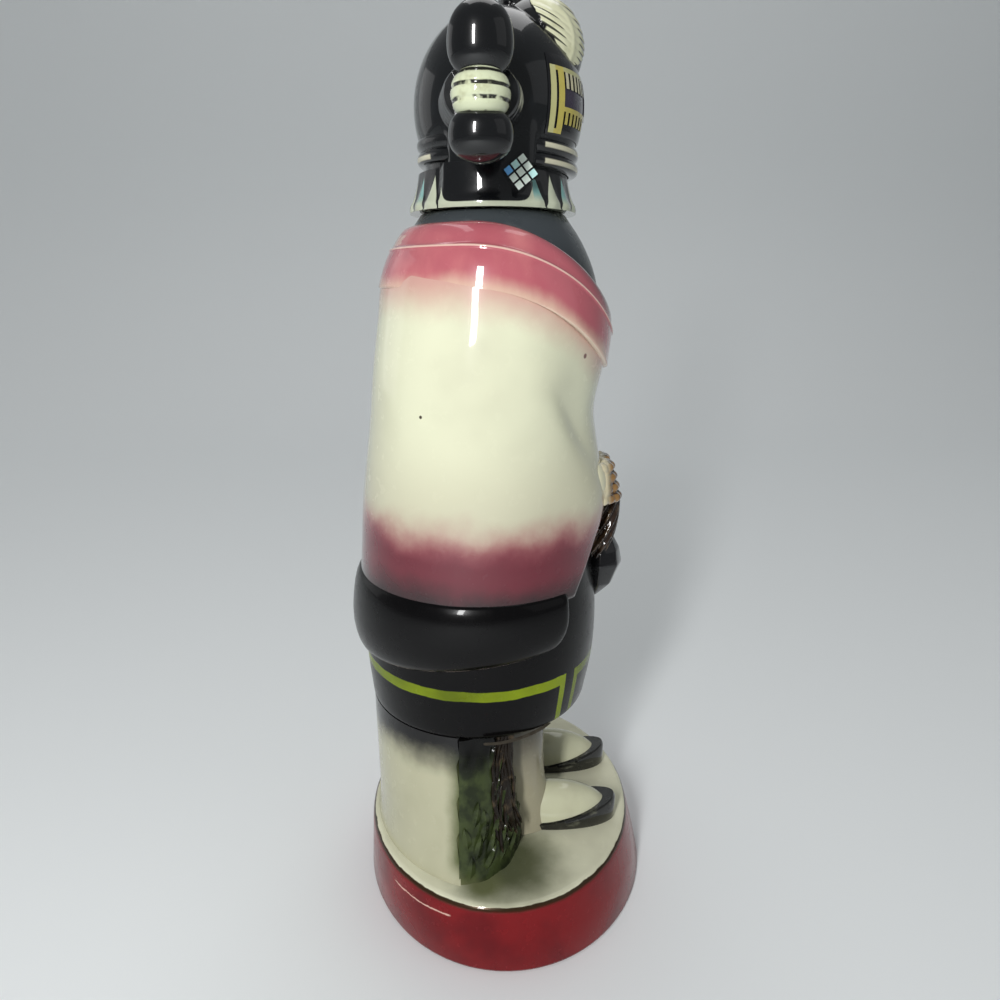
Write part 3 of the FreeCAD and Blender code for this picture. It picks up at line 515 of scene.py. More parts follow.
low_spray = calc("ADD", low_spray, times(y_axis, -0.35))
paint(bough_glaze, fall(low_spray, 0.0205, 0.0310), linear(136, 138, 100))
bough_spray = calc("MULTIPLY_ADD", mottle(bough_glaze, 70.0), 0.012, z_axis)
paint(bough_glaze, fade(bough_spray, 0.066, 0.080), linear(14, 14, 13))
bough = cast_piece("glazed_bough", bough_net, bough_glaze, crease=35.0)
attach(bough, "decanter")
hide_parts("spruce_bough")


# Sash fringe: brown twisted strands that hang from the hem at the right side, over the bough,
# with the pale end of the sash showing under the dress. It is carved with the bough and painted.
def drawn_strand(net, points, radius, sides=10):
    """A strand drawn along a row of points: its rings stay level, and the last one is narrowed."""
    ring = bmesh.ops.create_circle(net, cap_ends=True, segments=sides, radius=radius)["verts"]
    bmesh.ops.translate(net, verts=ring, vec=points[0])
    cap = ring[0].link_faces[0]
    last = Vector(points[0])
    for number, point in enumerate(points[1:], start=1):
        drawn = bmesh.ops.extrude_face_region(net, geom=[cap])["geom"]
        if number > 1:
            bmesh.ops.delete(net, geom=[cap], context="FACES_ONLY")
        cap = next(part for part in drawn if isinstance(part, bmesh.types.BMFace))
        bmesh.ops.translate(net, verts=cap.verts[:], vec=Vector(point) - last)
        last = Vector(point)
        if number == len(points) - 1:
            bmesh.ops.scale(net, verts=cap.verts[:], vec=(0.35, 0.35, 0.35), space=Matrix.Translation(-last))


fringe_net = bmesh.new()
FRINGE_TOP, FRINGE_STRANDS, CORE_RADIUS, STRAND_RADIUS = 0.0768, 15, 0.0028, 0.00066
CORE_DROP, STRAND_DROP, DROP_CHANGE, FRINGE_INNER = 0.0390, 0.0405, 0.004, 0.0392
for number in range(-1, FRINGE_STRANDS):
    core = number < 0
    phase = number * 1.7
    drop = CORE_DROP if core else STRAND_DROP + DROP_CHANGE * math.sin(phase * 2.1)
    spread = 0.0 if core else 2 * number / (FRINGE_STRANDS - 1) - 1
    strand = []
    for step in range(19):
        share = step / 18
        height = FRINGE_TOP - drop * share
        curl = 0.0 if core else 0.0007 * math.sin(phase * 1.3 + share * 9.0)
        y = -0.0025 + 0.0080 * share - 0.0096 * share**2 + spread * (0.0026 + 0.0014 * share) + curl
        reach, depth = bough_spread(height)
        bough_face = reach * math.sqrt(max(0.0, 1 - ((BOUGH_BACK - y) / depth) ** 2)) - BOUGH_MIDDLE
        lift = -0.0016 if core else 0.0004 + 0.0006 * math.sin(phase + share * 8.0)
        strand.append((-max(FRINGE_INNER, bough_face) - lift, y, height))
    drawn_strand(fringe_net, strand, CORE_RADIUS if core else STRAND_RADIUS)
strand_faces = set(fringe_net.faces)
SASH_START_X, SASH_START_Y, SASH_RADIUS = -0.0478, 0.0050, 0.0009
SASH_CURVE, SASH_RUN, SASH_RISE = 0.0135, 0.0235, 0.0002
sash_end = []
for step in range(9):
    share = step / 8
    sash_x = SASH_START_X + SASH_CURVE * share * share
    sash_end.append((sash_x, SASH_START_Y - SASH_RUN * share, FRINGE_TOP + SASH_RISE * share))
drawn_strand(fringe_net, sash_end, SASH_RADIUS)
for face in fringe_net.faces:
    if face not in strand_faces:
        face.material_index = 1
bmesh.ops.recalc_face_normals(fringe_net, faces=fringe_net.faces)
fringe_glaze = glaze("fringe_glaze", linear(30, 24, 18), gloss=0.15)
patches(fringe_glaze, linear(74, 62, 46), 0.5, 0.75, 300.0)
sash_end_glaze = glaze("sash_end_glaze", linear(92, 86, 76), gloss=0.5)
patches(sash_end_glaze, linear(70, 62, 52), 0.5, 0.75, 200.0)
fringe = cast_piece("glazed_fringe", fringe_net, fringe_glaze, sash_end_glaze)
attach(fringe, "decanter")
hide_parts("spruce_bough")


# Bottle: the figure's dress is the bottle itself, a hollow cast body with a flat ledge and a short
# neck for the cork. It is dipped black, with a yellow-green line above the hem that turns down on
# both sides of a slit at the right front.
BODY_ROWS = (
    (0.0770, 0.04249, 0.04596, 0.00875),
    (0.0950, 0.04498, 0.04798, 0.00800),
    (0.1130, 0.04530, 0.04850, 0.00770),
    (0.1301, 0.04358, 0.04759, 0.00750),
    (0.1571, 0.04150, 0.04700, 0.00750),
    (0.1850, 0.03919, 0.04599, 0.00620),
    (0.2048, 0.03855, 0.04508, 0.00480),
    (0.2219, 0.03819, 0.04349, 0.00275),
    (0.2354, 0.03651, 0.04100, 0.00250),
    (0.2471, 0.03171, 0.03504, 0.00250),
    (0.2570, 0.02501, 0.02603, 0.00250),
)


def body_oval(height):
    """Half depth, half width and middle of the body at a height, on a smooth line through its rows."""
    height = min(max(height, BODY_ROWS[0][0]), BODY_ROWS[-1][0])
    place = max(number for number in range(len(BODY_ROWS) - 1) if BODY_ROWS[number][0] <= height)
    near, far = BODY_ROWS[place], BODY_ROWS[place + 1]
    before = BODY_ROWS[max(place - 1, 0)]
    after = BODY_ROWS[min(place + 2, len(BODY_ROWS) - 1)]
    run = far[0] - near[0]
    share = (height - near[0]) / run
    result = []
    for column_number in (1, 2, 3):
        enter = (far[column_number] - before[column_number]) / (far[0] - before[0]) * run
        leave = (after[column_number] - near[column_number]) / (after[0] - near[0]) * run
        square, cube = share * share, share ** 3
        result.append(
            near[column_number] * (2 * cube - 3 * square + 1)
            + enter * (cube - 2 * square + share)
            + far[column_number] * (3 * square - 2 * cube)
            + leave * (cube - square)
        )
    return result


def body_point(turn, height, growth, forward=0.0):
    """A point over the body: turn in radians from the front towards the left, and growth outwards."""
    half_depth, half_width, middle = body_oval(height)
    return Vector(
        (
            (half_width + growth) * math.sin(turn),
            middle - forward - (half_depth + growth) * math.cos(turn),
            height,
        )
    )


def laid_net(columns, rows, place):
    """A net of faces laid over the figure: place gives the point for each share across and up."""
    net = bmesh.new()
    net.loops.layers.uv.new("UVMap")
    bmesh.ops.create_grid(net, x_segments=columns, y_segments=rows, size=0.5, calc_uvs=True)
    for corner in net.verts:
        corner.co = place(corner.co.x + 0.5, corner.co.y + 0.5)
    bmesh.ops.remove_doubles(net, verts=net.verts, dist=0.000005)
    return net


def row_at(rows, share):
    """The row of a table that a share of a net falls on."""
    return rows[round(share * (len(rows) - 1))]


def round_point(middle, turn, radius, height):
    """A point on a round that stands about an upright line."""
    return Vector((radius * math.sin(turn), middle - radius * math.cos(turn), height))


NECK_MIDDLE = 0.0025


def turn_about(finish, middle):
    """The angle round an upright line, from the front towards the left, as a finish reads it."""
    x_axis, y_axis, _ = axes(finish)
    return calc("ARCTAN2", x_axis, minus(middle, y_axis))


bottle_stations = [
    ("round", 0.0771, 0.0),
    ("body", 0.0771, -0.0120),
    ("body", 0.0770, -0.0022),
    ("body", 0.0772, -0.0009),
    ("body", 0.0779, -0.0002),
]
for step in range(62):
    bottle_stations.append(("body", 0.0790 + (0.2565 - 0.0790) * step / 61, 0.0))
bottle_stations += [
    ("round", 0.2570, 0.0240),
    ("round", 0.2571, 0.0180),
    ("round", 0.2576, 0.0172),
    ("round", 0.2590, 0.0170),
    ("round", 0.2672, 0.0170),
    ("round", 0.2684, 0.0167),
    ("round", 0.2690, 0.0158),
    ("round", 0.2690, 0.0130),
    ("round", 0.2686, 0.0122),
    ("round", 0.2676, 0.0120),
    ("round", 0.2465, 0.0120),
    ("round", 0.2458, 0.0126),
    ("round", 0.2450, 0.0200),
]
for step in range(18):
    bottle_stations.append(("body", 0.2380 - (0.2380 - 0.0840) * step / 17, -0.0050))
bottle_stations += [("body", 0.0830, -0.0100), ("round", 0.0830, 0.0)]


def bottle_place(across, up):
    turn = 2 * math.pi * across
    kind, height, size = row_at(bottle_stations, up)
    if kind == "body":
        return body_point(turn, height, size)
    return round_point(NECK_MIDDLE, turn, size, height)


dress_net = laid_net(176, len(bottle_stations) - 1, bottle_place)
dress_glaze = glaze("dress_glaze", linear(5, 4, 5), gloss=0.12)
z_axis = axes(dress_glaze)["Z"]
dress_turn = times(turn_about(dress_glaze, 0.008), 180 / math.pi)
LINE_LOW, LINE_HIGH = 0.0932, 0.0970
SLIT_BACK, SLIT_FRONT, STRIP_TURN = -46.5, -39.8, 3.6
dress_wave = calc("MULTIPLY_ADD", mottle(dress_glaze, 120.0), 0.0012, minus(z_axis, 0.0006))
line_mask = band(dress_wave, LINE_LOW, LINE_HIGH, 0.00022)
slit_gap = band(dress_turn, SLIT_BACK, SLIT_FRONT, 0.3)
line_mask = times(line_mask, minus(1.0, slit_gap))
back_strip = band(dress_turn, SLIT_BACK - STRIP_TURN, SLIT_BACK, 0.3)
front_strip = band(dress_turn, SLIT_FRONT, SLIT_FRONT + STRIP_TURN, 0.3)
strips = calc("ADD", back_strip, front_strip)
below_line = fall(dress_wave, LINE_HIGH - 0.0002, LINE_HIGH + 0.0002)
strips = times(strips, below_line)
line_cloud = fade(mottle(dress_glaze, 40.0), 0.3, 0.7)
paint(dress_glaze, calc("MAXIMUM", line_mask, strips), linear(94, 108, 16))
bright_line = times(calc("MAXIMUM", line_mask, strips), line_cloud)
paint(dress_glaze, bright_line, linear(134, 152, 22))
# Painted reflection: the black chest and shoulders, which face up, are painted grey for the pale ceiling they
# mirror.
chest_reflection = fade(z_axis, 0.222, 0.250)
paint(dress_glaze, times(chest_reflection, 0.85), linear(72, 78, 82))
dress = cast_piece("glazed_dress", dress_net, dress_glaze)
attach(dress, "decanter")
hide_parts("bottle_body")


# Hem band: a thick black roll round the foot of the robe, cast with it. It climbs towards the
# front and ends in a rounded corner at each side of the opening. Its lower edge is bare of glaze.
HEM_TOP = 0.1302
HEM_PROFILE = (
    (0.00, -0.0006),
    (0.00, 0.0006),
    (0.015, 0.0016),
    (0.05, 0.0026),
    (0.11, 0.0034),
    (0.20, 0.0041),
    (0.32, 0.0047),
    (0.47, 0.00495),
    (0.63, 0.0050),
    (0.78, 0.0049),
    (0.89, 0.0045),
    (0.955, 0.0039),
    (0.985, 0.0034),
    (1.00, 0.0028),
    (1.00, -0.0006),
)
HEM_CORNER, HEM_RADIUS = math.radians(47.5), 0.0485


def hem_foot(depth):
    """Height of the roll's lower edge, which climbs from the back to the front."""
    return 0.1005 + 0.012 * (0.0528 - depth) / 0.0906


def hem_place(across, up):
    turn = HEM_CORNER + (2 * math.pi - 2 * HEM_CORNER) * across
    rise, growth = row_at(HEM_PROFILE, up)
    run = min(across, 1 - across) * (2 * math.pi - 2 * HEM_CORNER) * HEM_RADIUS
    round_off = 1 - (1 - min(run / 0.004, 1.0)) ** 2
    corner_lift = 0.0085 * (1 - min(run / 0.0085, 1.0)) ** 2.4
    foot = hem_foot(body_point(turn, 0.104, 0.004).y) + corner_lift
    height = foot + (HEM_TOP - foot) * rise
    return body_point(turn, height, growth if growth < 0 else growth * (0.25 + 0.75 * math.sqrt(round_off)))


def net_shares(finish):
    """Shares across and up of a laid net, as a finish reads them."""
    tree = finish.node_tree
    split = tree.nodes.new("ShaderNodeSeparateXYZ")
    tree.links.new(tree.nodes.new("ShaderNodeUVMap").outputs["UV"], split.inputs[0])
    return split.outputs


def open_edges(net):
    """The edges where a net is still open."""
    return [edge for edge in net.edges if edge.is_boundary]


hem_net = laid_net(200, len(HEM_PROFILE) - 1, hem_place)
bmesh.ops.holes_fill(hem_net, edges=open_edges(hem_net))
hem_glaze = glaze("hem_glaze", linear(6, 5, 6), gloss=0.2)
hem_split = net_shares(hem_glaze)
bare_edge = band(hem_split["Y"], 0.105, 0.190, 0.02)
bare_edge = times(bare_edge, fade(mottle(hem_glaze, 160.0), 0.30, 0.55))
paint(hem_glaze, times(bare_edge, 0.55), linear(150, 134, 126))
hem = cast_piece("glazed_hem", hem_net, hem_glaze, crease=60.0)
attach(hem, "decanter")
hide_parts("hem_band")


# Robe: the cream cloak over the shoulders and arms, one smooth cast sheet that falls to the hem
# roll and parts in front below the hands. Rose is sprayed up from the hem and down from the border.
OPENING_EDGE = (
    (0.126, 0.0340),
    (0.131, 0.0305),
    (0.140, 0.0230),
    (0.150, 0.0155),
    (0.158, 0.0105),
    (0.168, 0.0050),
    (0.1745, 0.0),
)


def between(rows, value):
    """A value read off a short table with straight runs."""
    for (low, first), (high, second) in zip(rows, rows[1:]):
        if value <= high:
            share = clamped((value - low) / (high - low))
            return first + (second - first) * share
    return rows[-1][1]


def swept_height(turn, level, drop, growth, forward):
    """Height of a border that is level behind and sweeps down to the front in an arc."""
    radius = (0.050 ** 2 + drop ** 2) / (2 * drop)
    height = level
    for _ in range(24):
        depth = body_point(turn, height, growth, forward).y
        run = min(max(0.011 - depth, 0.0), 0.0499)
        wanted = level - radius + math.sqrt(radius * radius - run * run)
        height += (wanted - height) * 0.5
    return height


def neckline_height(turn):
    return swept_height(turn, 0.2528, 0.031, 0.0030, 0.0)


BORDER_FORWARD, BORDER_WALL = 0.0009, 0.0012


def border_height(turn):
    return swept_height(turn, 0.2320, 0.028, 0.0044, BORDER_FORWARD)


def soft_bump(value, middle, reach):
    return math.exp(-(((value - middle) / reach) ** 2))


def from_front(turn):
    """How far a turn lies from the front, to either side."""
    return abs((turn + math.pi) % (2 * math.pi) - math.pi)


def robe_relief(turn, height):
    """Relief of the robe: a hollow at each elbow, the arm above and below it, the breast and the waist."""
    side = from_front(turn)
    lean = height - 0.194 + 0.045 * (0.80 - side)
    elbow = -0.0023 * soft_bump(lean, 0.0, 0.022 if lean > 0 else 0.008) * soft_bump(side, 0.74, 0.30)
    forearm = 0.0036 * soft_bump(height, 0.159, 0.0145) * soft_bump(side, 0.36, 0.40)
    upper_arm = 0.0008 * soft_bump(height, 0.208, 0.012) * soft_bump(side, 0.95, 0.30)
    breast = 0.0020 * soft_bump(height, 0.2150, 0.0110) * soft_bump(side, 0.15, 0.40)
    waist = -0.0012 * soft_bump(height, 0.1900, 0.0085) * soft_bump(side, 0.15, 0.40)
    return elbow + forearm + upper_arm + breast + waist


ROBE_FOOT, ROBE_GROWTH, ROBE_WALL = 0.1275, 0.0030, 0.0022


def robe_place(across, up):
    turn = 2 * math.pi * across
    top = neckline_height(turn) - 0.0010
    height = ROBE_FOOT + (top - ROBE_FOOT) * up
    half_width = body_oval(height)[1] + ROBE_GROWTH
    edge = math.asin(min(between(OPENING_EDGE, height) / half_width, 0.98))
    turn = edge + (2 * math.pi - 2 * edge) * across
    run = min(across, 1 - across) * (2 * math.pi - 2 * edge) * half_width
    tuck = max(0.0, 1 - run / 0.0035) ** 2 * 0.0026
    top_tuck = max(0.0, 1 - (top - height) / 0.002) ** 2 * 0.0022
    return body_point(turn, height, ROBE_GROWTH - tuck - top_tuck + robe_relief(turn, height))


robe_net = laid_net(260, 90, robe_place)
robe_glaze = glaze("robe_glaze", linear(232, 233, 203))
_, y_axis, z_axis = axes(robe_glaze)
patches(robe_glaze, linear(216, 216, 188), 0.40, 0.80, 22.0)
low_shade = fall(z_axis, 0.1500, 0.1950)
paint(robe_glaze, times(low_shade, 0.7), linear(190, 184, 160))
foot_spray = calc("MULTIPLY_ADD", mottle(robe_glaze, 60.0, 6.0), 0.014, z_axis)
foot_spray = calc("ADD", foot_spray, times(y_axis, -0.02))
paint(robe_glaze, fall(foot_spray, 0.1520, 0.1690), linear(166, 88, 96))
paint(robe_glaze, fall(foot_spray, 0.1500, 0.1620), linear(106, 32, 46))
paint(robe_glaze, fall(foot_spray, 0.1345, 0.1465), linear(40, 22, 25))
for speck_place, speck_radius in (
    ((-0.0297, -0.0282, 0.2105), 0.0006),
    ((-0.0430, 0.0254, 0.1922), 0.0004),
    ((0.0210, 0.0440, 0.2010), 0.0005),
):
    reach = robe_glaze.node_tree.nodes.new("ShaderNodeVectorMath")
    reach.operation = "DISTANCE"
    robe_glaze.node_tree.links.new(
        robe_glaze.node_tree.nodes["object_place"].outputs["Object"], reach.inputs[0]
    )
    reach.inputs[1].default_value = speck_place
    speck_mask = fall(reach.outputs["Value"], speck_radius, speck_radius * 1.8)
    paint(robe_glaze, speck_mask, linear(70, 60, 50))
SPRAY_LAYER = "rose_spray"
robe = cast_piece("glazed_robe", robe_net, robe_glaze)
spray_share = robe.data.attributes.new(SPRAY_LAYER, "FLOAT", "POINT")
for corner, share in zip(robe.data.vertices, spray_share.data):
    turn = math.atan2(corner.co.x, body_oval(corner.co.z)[2] - corner.co.y)
    share.value = corner.co.z - border_height(turn)
reader = robe_glaze.node_tree.nodes.new("ShaderNodeAttribute")
reader.attribute_name = SPRAY_LAYER
over_border = calc("MULTIPLY_ADD", mottle(robe_glaze, 75.0, 5.0), 0.008, reader.outputs["Fac"])
paint(robe_glaze, times(fade(over_border, -0.0085, 0.0080), 0.8), linear(205, 140, 136))
robe_wall = robe.modifiers.new("wall", "SOLIDIFY")
robe_wall.thickness = ROBE_WALL
robe_wall.offset = -1.0
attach(robe, "decanter")
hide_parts("cloak_shell")


# Shoulder border: a raised collar round the robe's neck, sprayed rose, with one carved line along
# it and a thin edge below where the glaze breaks pale. It sweeps down to the front.
BORDER_PROFILE = (
    (0.000, 0.0026),
    (0.004, 0.0036),
    (0.012, 0.0042),
    (0.030, 0.0045),
    (0.060, 0.0045),
    (0.150, 0.0044),
    (0.300, 0.0044),
    (0.450, 0.0044),
    (0.560, 0.0043),
    (0.590, 0.0043),
    (0.605, 0.0046),
    (0.620, 0.0048),
    (0.635, 0.0046),
    (0.650, 0.0040),
    (0.675, 0.0038),
    (0.750, 0.0038),
    (0.850, 0.0038),
    (0.920, 0.0036),
    (0.960, 0.0031),
    (0.985, 0.0022),
    (1.000, 0.0006),
)


def border_place(across, up):
    turn = 2 * math.pi * across
    share, growth = row_at(BORDER_PROFILE, up)
    low, high = border_height(turn), neckline_height(turn)
    side = from_front(turn)
    flush = clamped((side - 0.90) / 0.35) * clamped((2.60 - side) / 0.30)
    if share < 0.45:
        growth += (0.0031 + 0.0013 * share / 0.45 - growth) * flush
    return body_point(turn, low + (high - low) * share, growth, BORDER_FORWARD)


border_net = laid_net(260, len(BORDER_PROFILE) - 1, border_place)
uv_layer = border_net.loops.layers.uv.active
for face in border_net.faces:
    for loop in face.loops:
        row = round(loop[uv_layer].uv.y * (len(BORDER_PROFILE) - 1))
        loop[uv_layer].uv.y = BORDER_PROFILE[row][0]
border_glaze = glaze("border_glaze", linear(186, 98, 108))
border_split = net_shares(border_glaze)
border_up = border_split["Y"]
y_axis = axes(border_glaze)["Y"]
patches(border_glaze, linear(206, 124, 126), 0.42, 0.75, 55.0, 5.0, (1.0, 1.0, 0.35))
paint(border_glaze, times(fade(mottle(border_glaze, 38.0), 0.5, 0.8), 0.6), linear(156, 78, 90))
low_spray = calc("MULTIPLY_ADD", mottle(border_glaze, 80.0, 5.0, (1.0, 1.0, 0.4)), 0.30, border_up)
paint(border_glaze, fall(low_spray, 0.10, 0.42), linear(222, 190, 168))
front_shade = calc("MULTIPLY_ADD", y_axis, -12.0, border_up)
paint(border_glaze, times(fade(front_shade, 0.98, 1.42), 0.75), linear(66, 46, 54))
paint(border_glaze, band(border_up, 0.606, 0.634, 0.006), linear(228, 190, 176))
edge_seen = fall(y_axis, -0.022, -0.008)
edge_line = fall(border_up, 0.010, 0.022)
paint(border_glaze, times(edge_line, edge_seen), linear(232, 212, 192))
border = cast_piece("glazed_border", border_net, border_glaze, crease=75.0)
border_wall = border.modifiers.new("wall", "SOLIDIFY")
border_wall.thickness = BORDER_WALL
border_wall.offset = -1.0
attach(border, "decanter")
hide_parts("shoulder_border")


# Hands and cuffs: two fists one against the other in front of the robe, fingers stacked round the
# sash they hold, each coming out of a rolled cream cuff. Cast with the body and painted tan.
CUFF_START, CUFF_LENGTH, CUFF_RADIUS = 0.0205, 0.0110, 0.0084
CUFF_PROFILE = (
    (0.0, 0.60),
    (0.10, 0.82),
    (0.30, 0.97),
    (0.52, 1.0),
    (0.74, 0.94),
    (0.88, 0.86),
    (0.95, 0.80),
    (0.985, 0.72),
    (0.96, 0.66),
    (0.86, 0.62),
)


def turned(points, centre, axis, steps):
    """A net turned about an axis from a row of points."""
    net = bmesh.new()
    line = [net.verts.new(point) for point in points]
    edges = [net.edges.new(pair) for pair in zip(line, line[1:])]
    bmesh.ops.spin(
        net, geom=line + edges, cent=centre, axis=axis, angle=2 * math.pi, steps=steps, use_merge=True
    )
    bmesh.ops.remove_doubles(net, verts=net.verts, dist=0.00001)
    return net


hand_glaze = glaze("hand_glaze", linear(150, 112, 62))
_, y_axis, z_axis = axes(hand_glaze)
patches(hand_glaze, linear(104, 72, 38), 0.45, 0.72, 190.0, 4.0)
HAND_FOOT, FINGER = 0.1552, 0.0038
# Painted shade: dark brown bands in the creases between the stacked fingers.
finger_share = calc("FRACT", times(minus(z_axis, HAND_FOOT), 1 / FINGER))
finger_shade_gap = calc("ABSOLUTE", minus(finger_share, 0.5))
paint(hand_glaze, fade(finger_shade_gap, 0.36, 0.48), linear(60, 38, 18))
paint(hand_glaze, fade(y_axis, -0.0415, -0.0385), linear(210, 200, 168))
cuff_glaze = glaze("cuff_glaze", linear(226, 222, 190))
patches(cuff_glaze, linear(200, 190, 156), 0.5, 0.8, 90.0)
for side_name, side in (("right", -1), ("left", 1)):
    hand_net = bmesh.new()
    for finger in range(4):
        height = HAND_FOOT + FINGER * (finger + 0.5)
        forward = 0.0010 * (1.5 - finger)
        for x, y, radius in (
            (0.0150, -0.0365, 0.0040),
            (0.0125, -0.0392, 0.0040),
            (0.0098, -0.0416, 0.0041),
            (0.0068, -0.0427, 0.0038),
            (0.0040, -0.0424, 0.0037),
            (0.0022, -0.0408, 0.0035),
            (0.0030, -0.0380, 0.0033),
        ):
            ball = bmesh.ops.create_uvsphere(hand_net, u_segments=16, v_segments=10, radius=radius)["verts"]
            bmesh.ops.scale(hand_net, verts=ball, vec=(0.9, 0.75, 0.56 * FINGER / radius))
            bmesh.ops.translate(hand_net, verts=ball, vec=(x * side, y + 0.0009 - forward, height))
    for x, y, z, radius in (
        (0.0120, -0.0362, 0.1608, 0.0056),
        (0.0114, -0.0360, 0.1648, 0.0052),
        (0.0085, -0.0388, 0.1686, 0.0024),
        (0.0052, -0.0398, 0.1680, 0.0022),
        (0.0080, -0.0364, 0.1622, 0.0060),
    ):
        ball = bmesh.ops.create_uvsphere(hand_net, u_segments=20, v_segments=12, radius=radius)["verts"]
        bmesh.ops.translate(hand_net, verts=ball, vec=(x * side, y, z))
    hand = cast_piece(f"glazed_{side_name}_hand", hand_net, hand_glaze)
    hand_skin = hand.modifiers.new("one_skin", "REMESH")
    hand_skin.mode = "VOXEL"
    hand_skin.voxel_size = 0.0004
    hand_skin.use_smooth_shade = True
    hand_soft = hand.modifiers.new("glaze_soft", "SMOOTH")
    hand_soft.factor = 0.5
    hand_soft.iterations = 4
    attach(hand, "decanter")
    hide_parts(f"{side_name}_hand")

    cuff_line = [
        (CUFF_START - CUFF_LENGTH * along, 0.0, CUFF_RADIUS * radius) for along, radius in CUFF_PROFILE
    ]
    cuff_net = turned(cuff_line, (0.0, 0.0, 0.0), (1.0, 0.0, 0.0), 48)
    bmesh.ops.holes_fill(cuff_net, edges=open_edges(cuff_net))
    bmesh.ops.scale(cuff_net, verts=cuff_net.verts, vec=(side, 0.56, 1.0))
    for corner in cuff_net.verts:
        corner.co.y -= 0.30 * (CUFF_START - abs(corner.co.x))
    bmesh.ops.translate(cuff_net, verts=cuff_net.verts, vec=(0.0, -0.0326, 0.1630))
    bmesh.ops.recalc_face_normals(cuff_net, faces=cuff_net.faces)
    cuff = cast_piece(f"glazed_{side_name}_cuff", cuff_net, cuff_glaze)
    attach(cuff, "decanter")
    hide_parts(f"{side_name}_cuff")


# Sash bundle and pouch: the gathered sash comes out under the fists in twisted pleats, and a black
# pouch with pressed flats hangs from it against the dress.
def bundle_place(across, up):
    turn = 2 * math.pi * across
    pleats = 1 + 0.085 * math.cos(13 * turn - 22 * up) + 0.03 * math.cos(5 * turn - 3.0 * up)
    girth = 0.62 + 0.42 * math.sin(math.pi * (0.16 + 0.72 * up))
    if up < 0.001 or up > 0.999:
        girth, pleats = 0.0, 1.0
    lean = 0.0052 * up
    return Vector(
        (
            0.0100 * girth * pleats * math.sin(turn),
            -0.0352 - lean - 0.0072 * girth * pleats * math.cos(turn),
            0.1315 + 0.0262 * up,
        )
    )


bundle_net = laid_net(132, 22, bundle_place)
bundle_glaze = glaze("bundle_glaze", linear(44, 30, 21))
bundle_up = axes(bundle_glaze)["Z"]
patches(bundle_glaze, linear(92, 72, 52), 0.5, 0.68, 420.0, 3.0, (1.0, 1.0, 0.25))
paint(bundle_glaze, fall(bundle_up, 0.1310, 0.1350), linear(22, 17, 15))
bundle = cast_piece("glazed_bundle", bundle_net, bundle_glaze)
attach(bundle, "decanter")
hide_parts("sash_bundle")

pouch_net = oval_stack(
    (
        (0.0, -0.0372, 0.1142, 0.0013, 0.0013),
        (0.0, -0.0384, 0.1202, 0.0064, 0.0064),
        (0.0, -0.0388, 0.1286, 0.0094, 0.0094),
        (0.0, -0.0392, 0.1345, 0.0078, 0.0078),
        (0.0, -0.0396, 0.1415, 0.0036, 0.0036),
    ),
    8,
)
bmesh.ops.bevel(
    pouch_net, geom=pouch_net.edges[:], offset=0.0007, segments=3, profile=0.5, affect="EDGES", material=-1
)
pouch_glaze = glaze("pouch_glaze", linear(16, 16, 18))
patches(pouch_glaze, linear(34, 40, 40), 0.55, 0.8, 120.0)
pouch = cast_piece("glazed_pouch", pouch_net, pouch_glaze, crease=80.0)
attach(pouch, "decanter")
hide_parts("pouch")


# Cork: a cut plug of natural cork with bevelled ends. Its upper end is set in the head and its
# lower end grips the neck.
CORK_PROFILE = (
    (0.0, 0.2530),
    (0.0104, 0.2530),
    (0.0110, 0.2533),
    (0.01192, 0.2546),
    (0.01194, 0.2560),
    (0.01194, 0.2760),
    (0.0106, 0.2785),
    (0.0, 0.2785),
)
cork_line = [(radius, NECK_MIDDLE, height) for radius, height in CORK_PROFILE]
cork_net = turned(cork_line, (0.0, NECK_MIDDLE, 0.0), (0.0, 0.0, 1.0), 64)
bmesh.ops.recalc_face_normals(cork_net, faces=cork_net.faces)
cork_finish = bpy.data.materials.new("natural_cork")
cork_finish.use_nodes = True
cork_tree = cork_finish.node_tree
cork_surface = cork_tree.nodes["Principled BSDF"]
cork_surface.inputs["Base Color"].default_value = linear(190, 146, 98)
cork_surface.inputs["Roughness"].default_value = 0.85
patches(cork_finish, linear(150, 104, 62), 0.5, 0.75, 420.0, 5.0)
patches(cork_finish, linear(74, 46, 26), 0.66, 0.74, 900.0, 2.0)
cork_bump = cork_tree.nodes.new("ShaderNodeBump")
cork_bump.inputs["Distance"].default_value = 0.0004
cork_tree.links.new(mottle(cork_finish, 700.0, 4.0), cork_bump.inputs["Height"])
cork_tree.links.new(cork_bump.outputs["Normal"], cork_surface.inputs["Normal"])
cork = cast_piece("cut_cork", cork_net, cork_finish, crease=30.0)
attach(cork, "cork")
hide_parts("cork")


# Feather collar: a flared ring under the head that hides the neck. Pointed feathers in white and
# turquoise are painted front and back between black gaps, with a plain black drape at each side.
COLLAR_PROFILE = (
    (0.0186, 0.2572),
    (0.0290, 0.2571),
    (0.0292, 0.2576),
    (0.02925, 0.2584),
    (0.0291, 0.2592),
    (0.0285, 0.2602),
    (0.0278, 0.2616),
    (0.0271, 0.2636),
    (0.0265, 0.2658),
    (0.0261, 0.2678),
    (0.0258, 0.2696),
    (0.0250, 0.2700),
    (0.0186, 0.2700),
)
FEATHERS = 24
DRAPE_FRONT, DRAPE_BACK = math.radians(62), math.radians(127)


def drape_share(turn):
    """How far a place round the neck lies under the hair that falls at each side."""
    side = from_front(turn)
    inside = min(side - DRAPE_FRONT, DRAPE_BACK - side)
    return clamped(inside / 0.12 + 0.5)


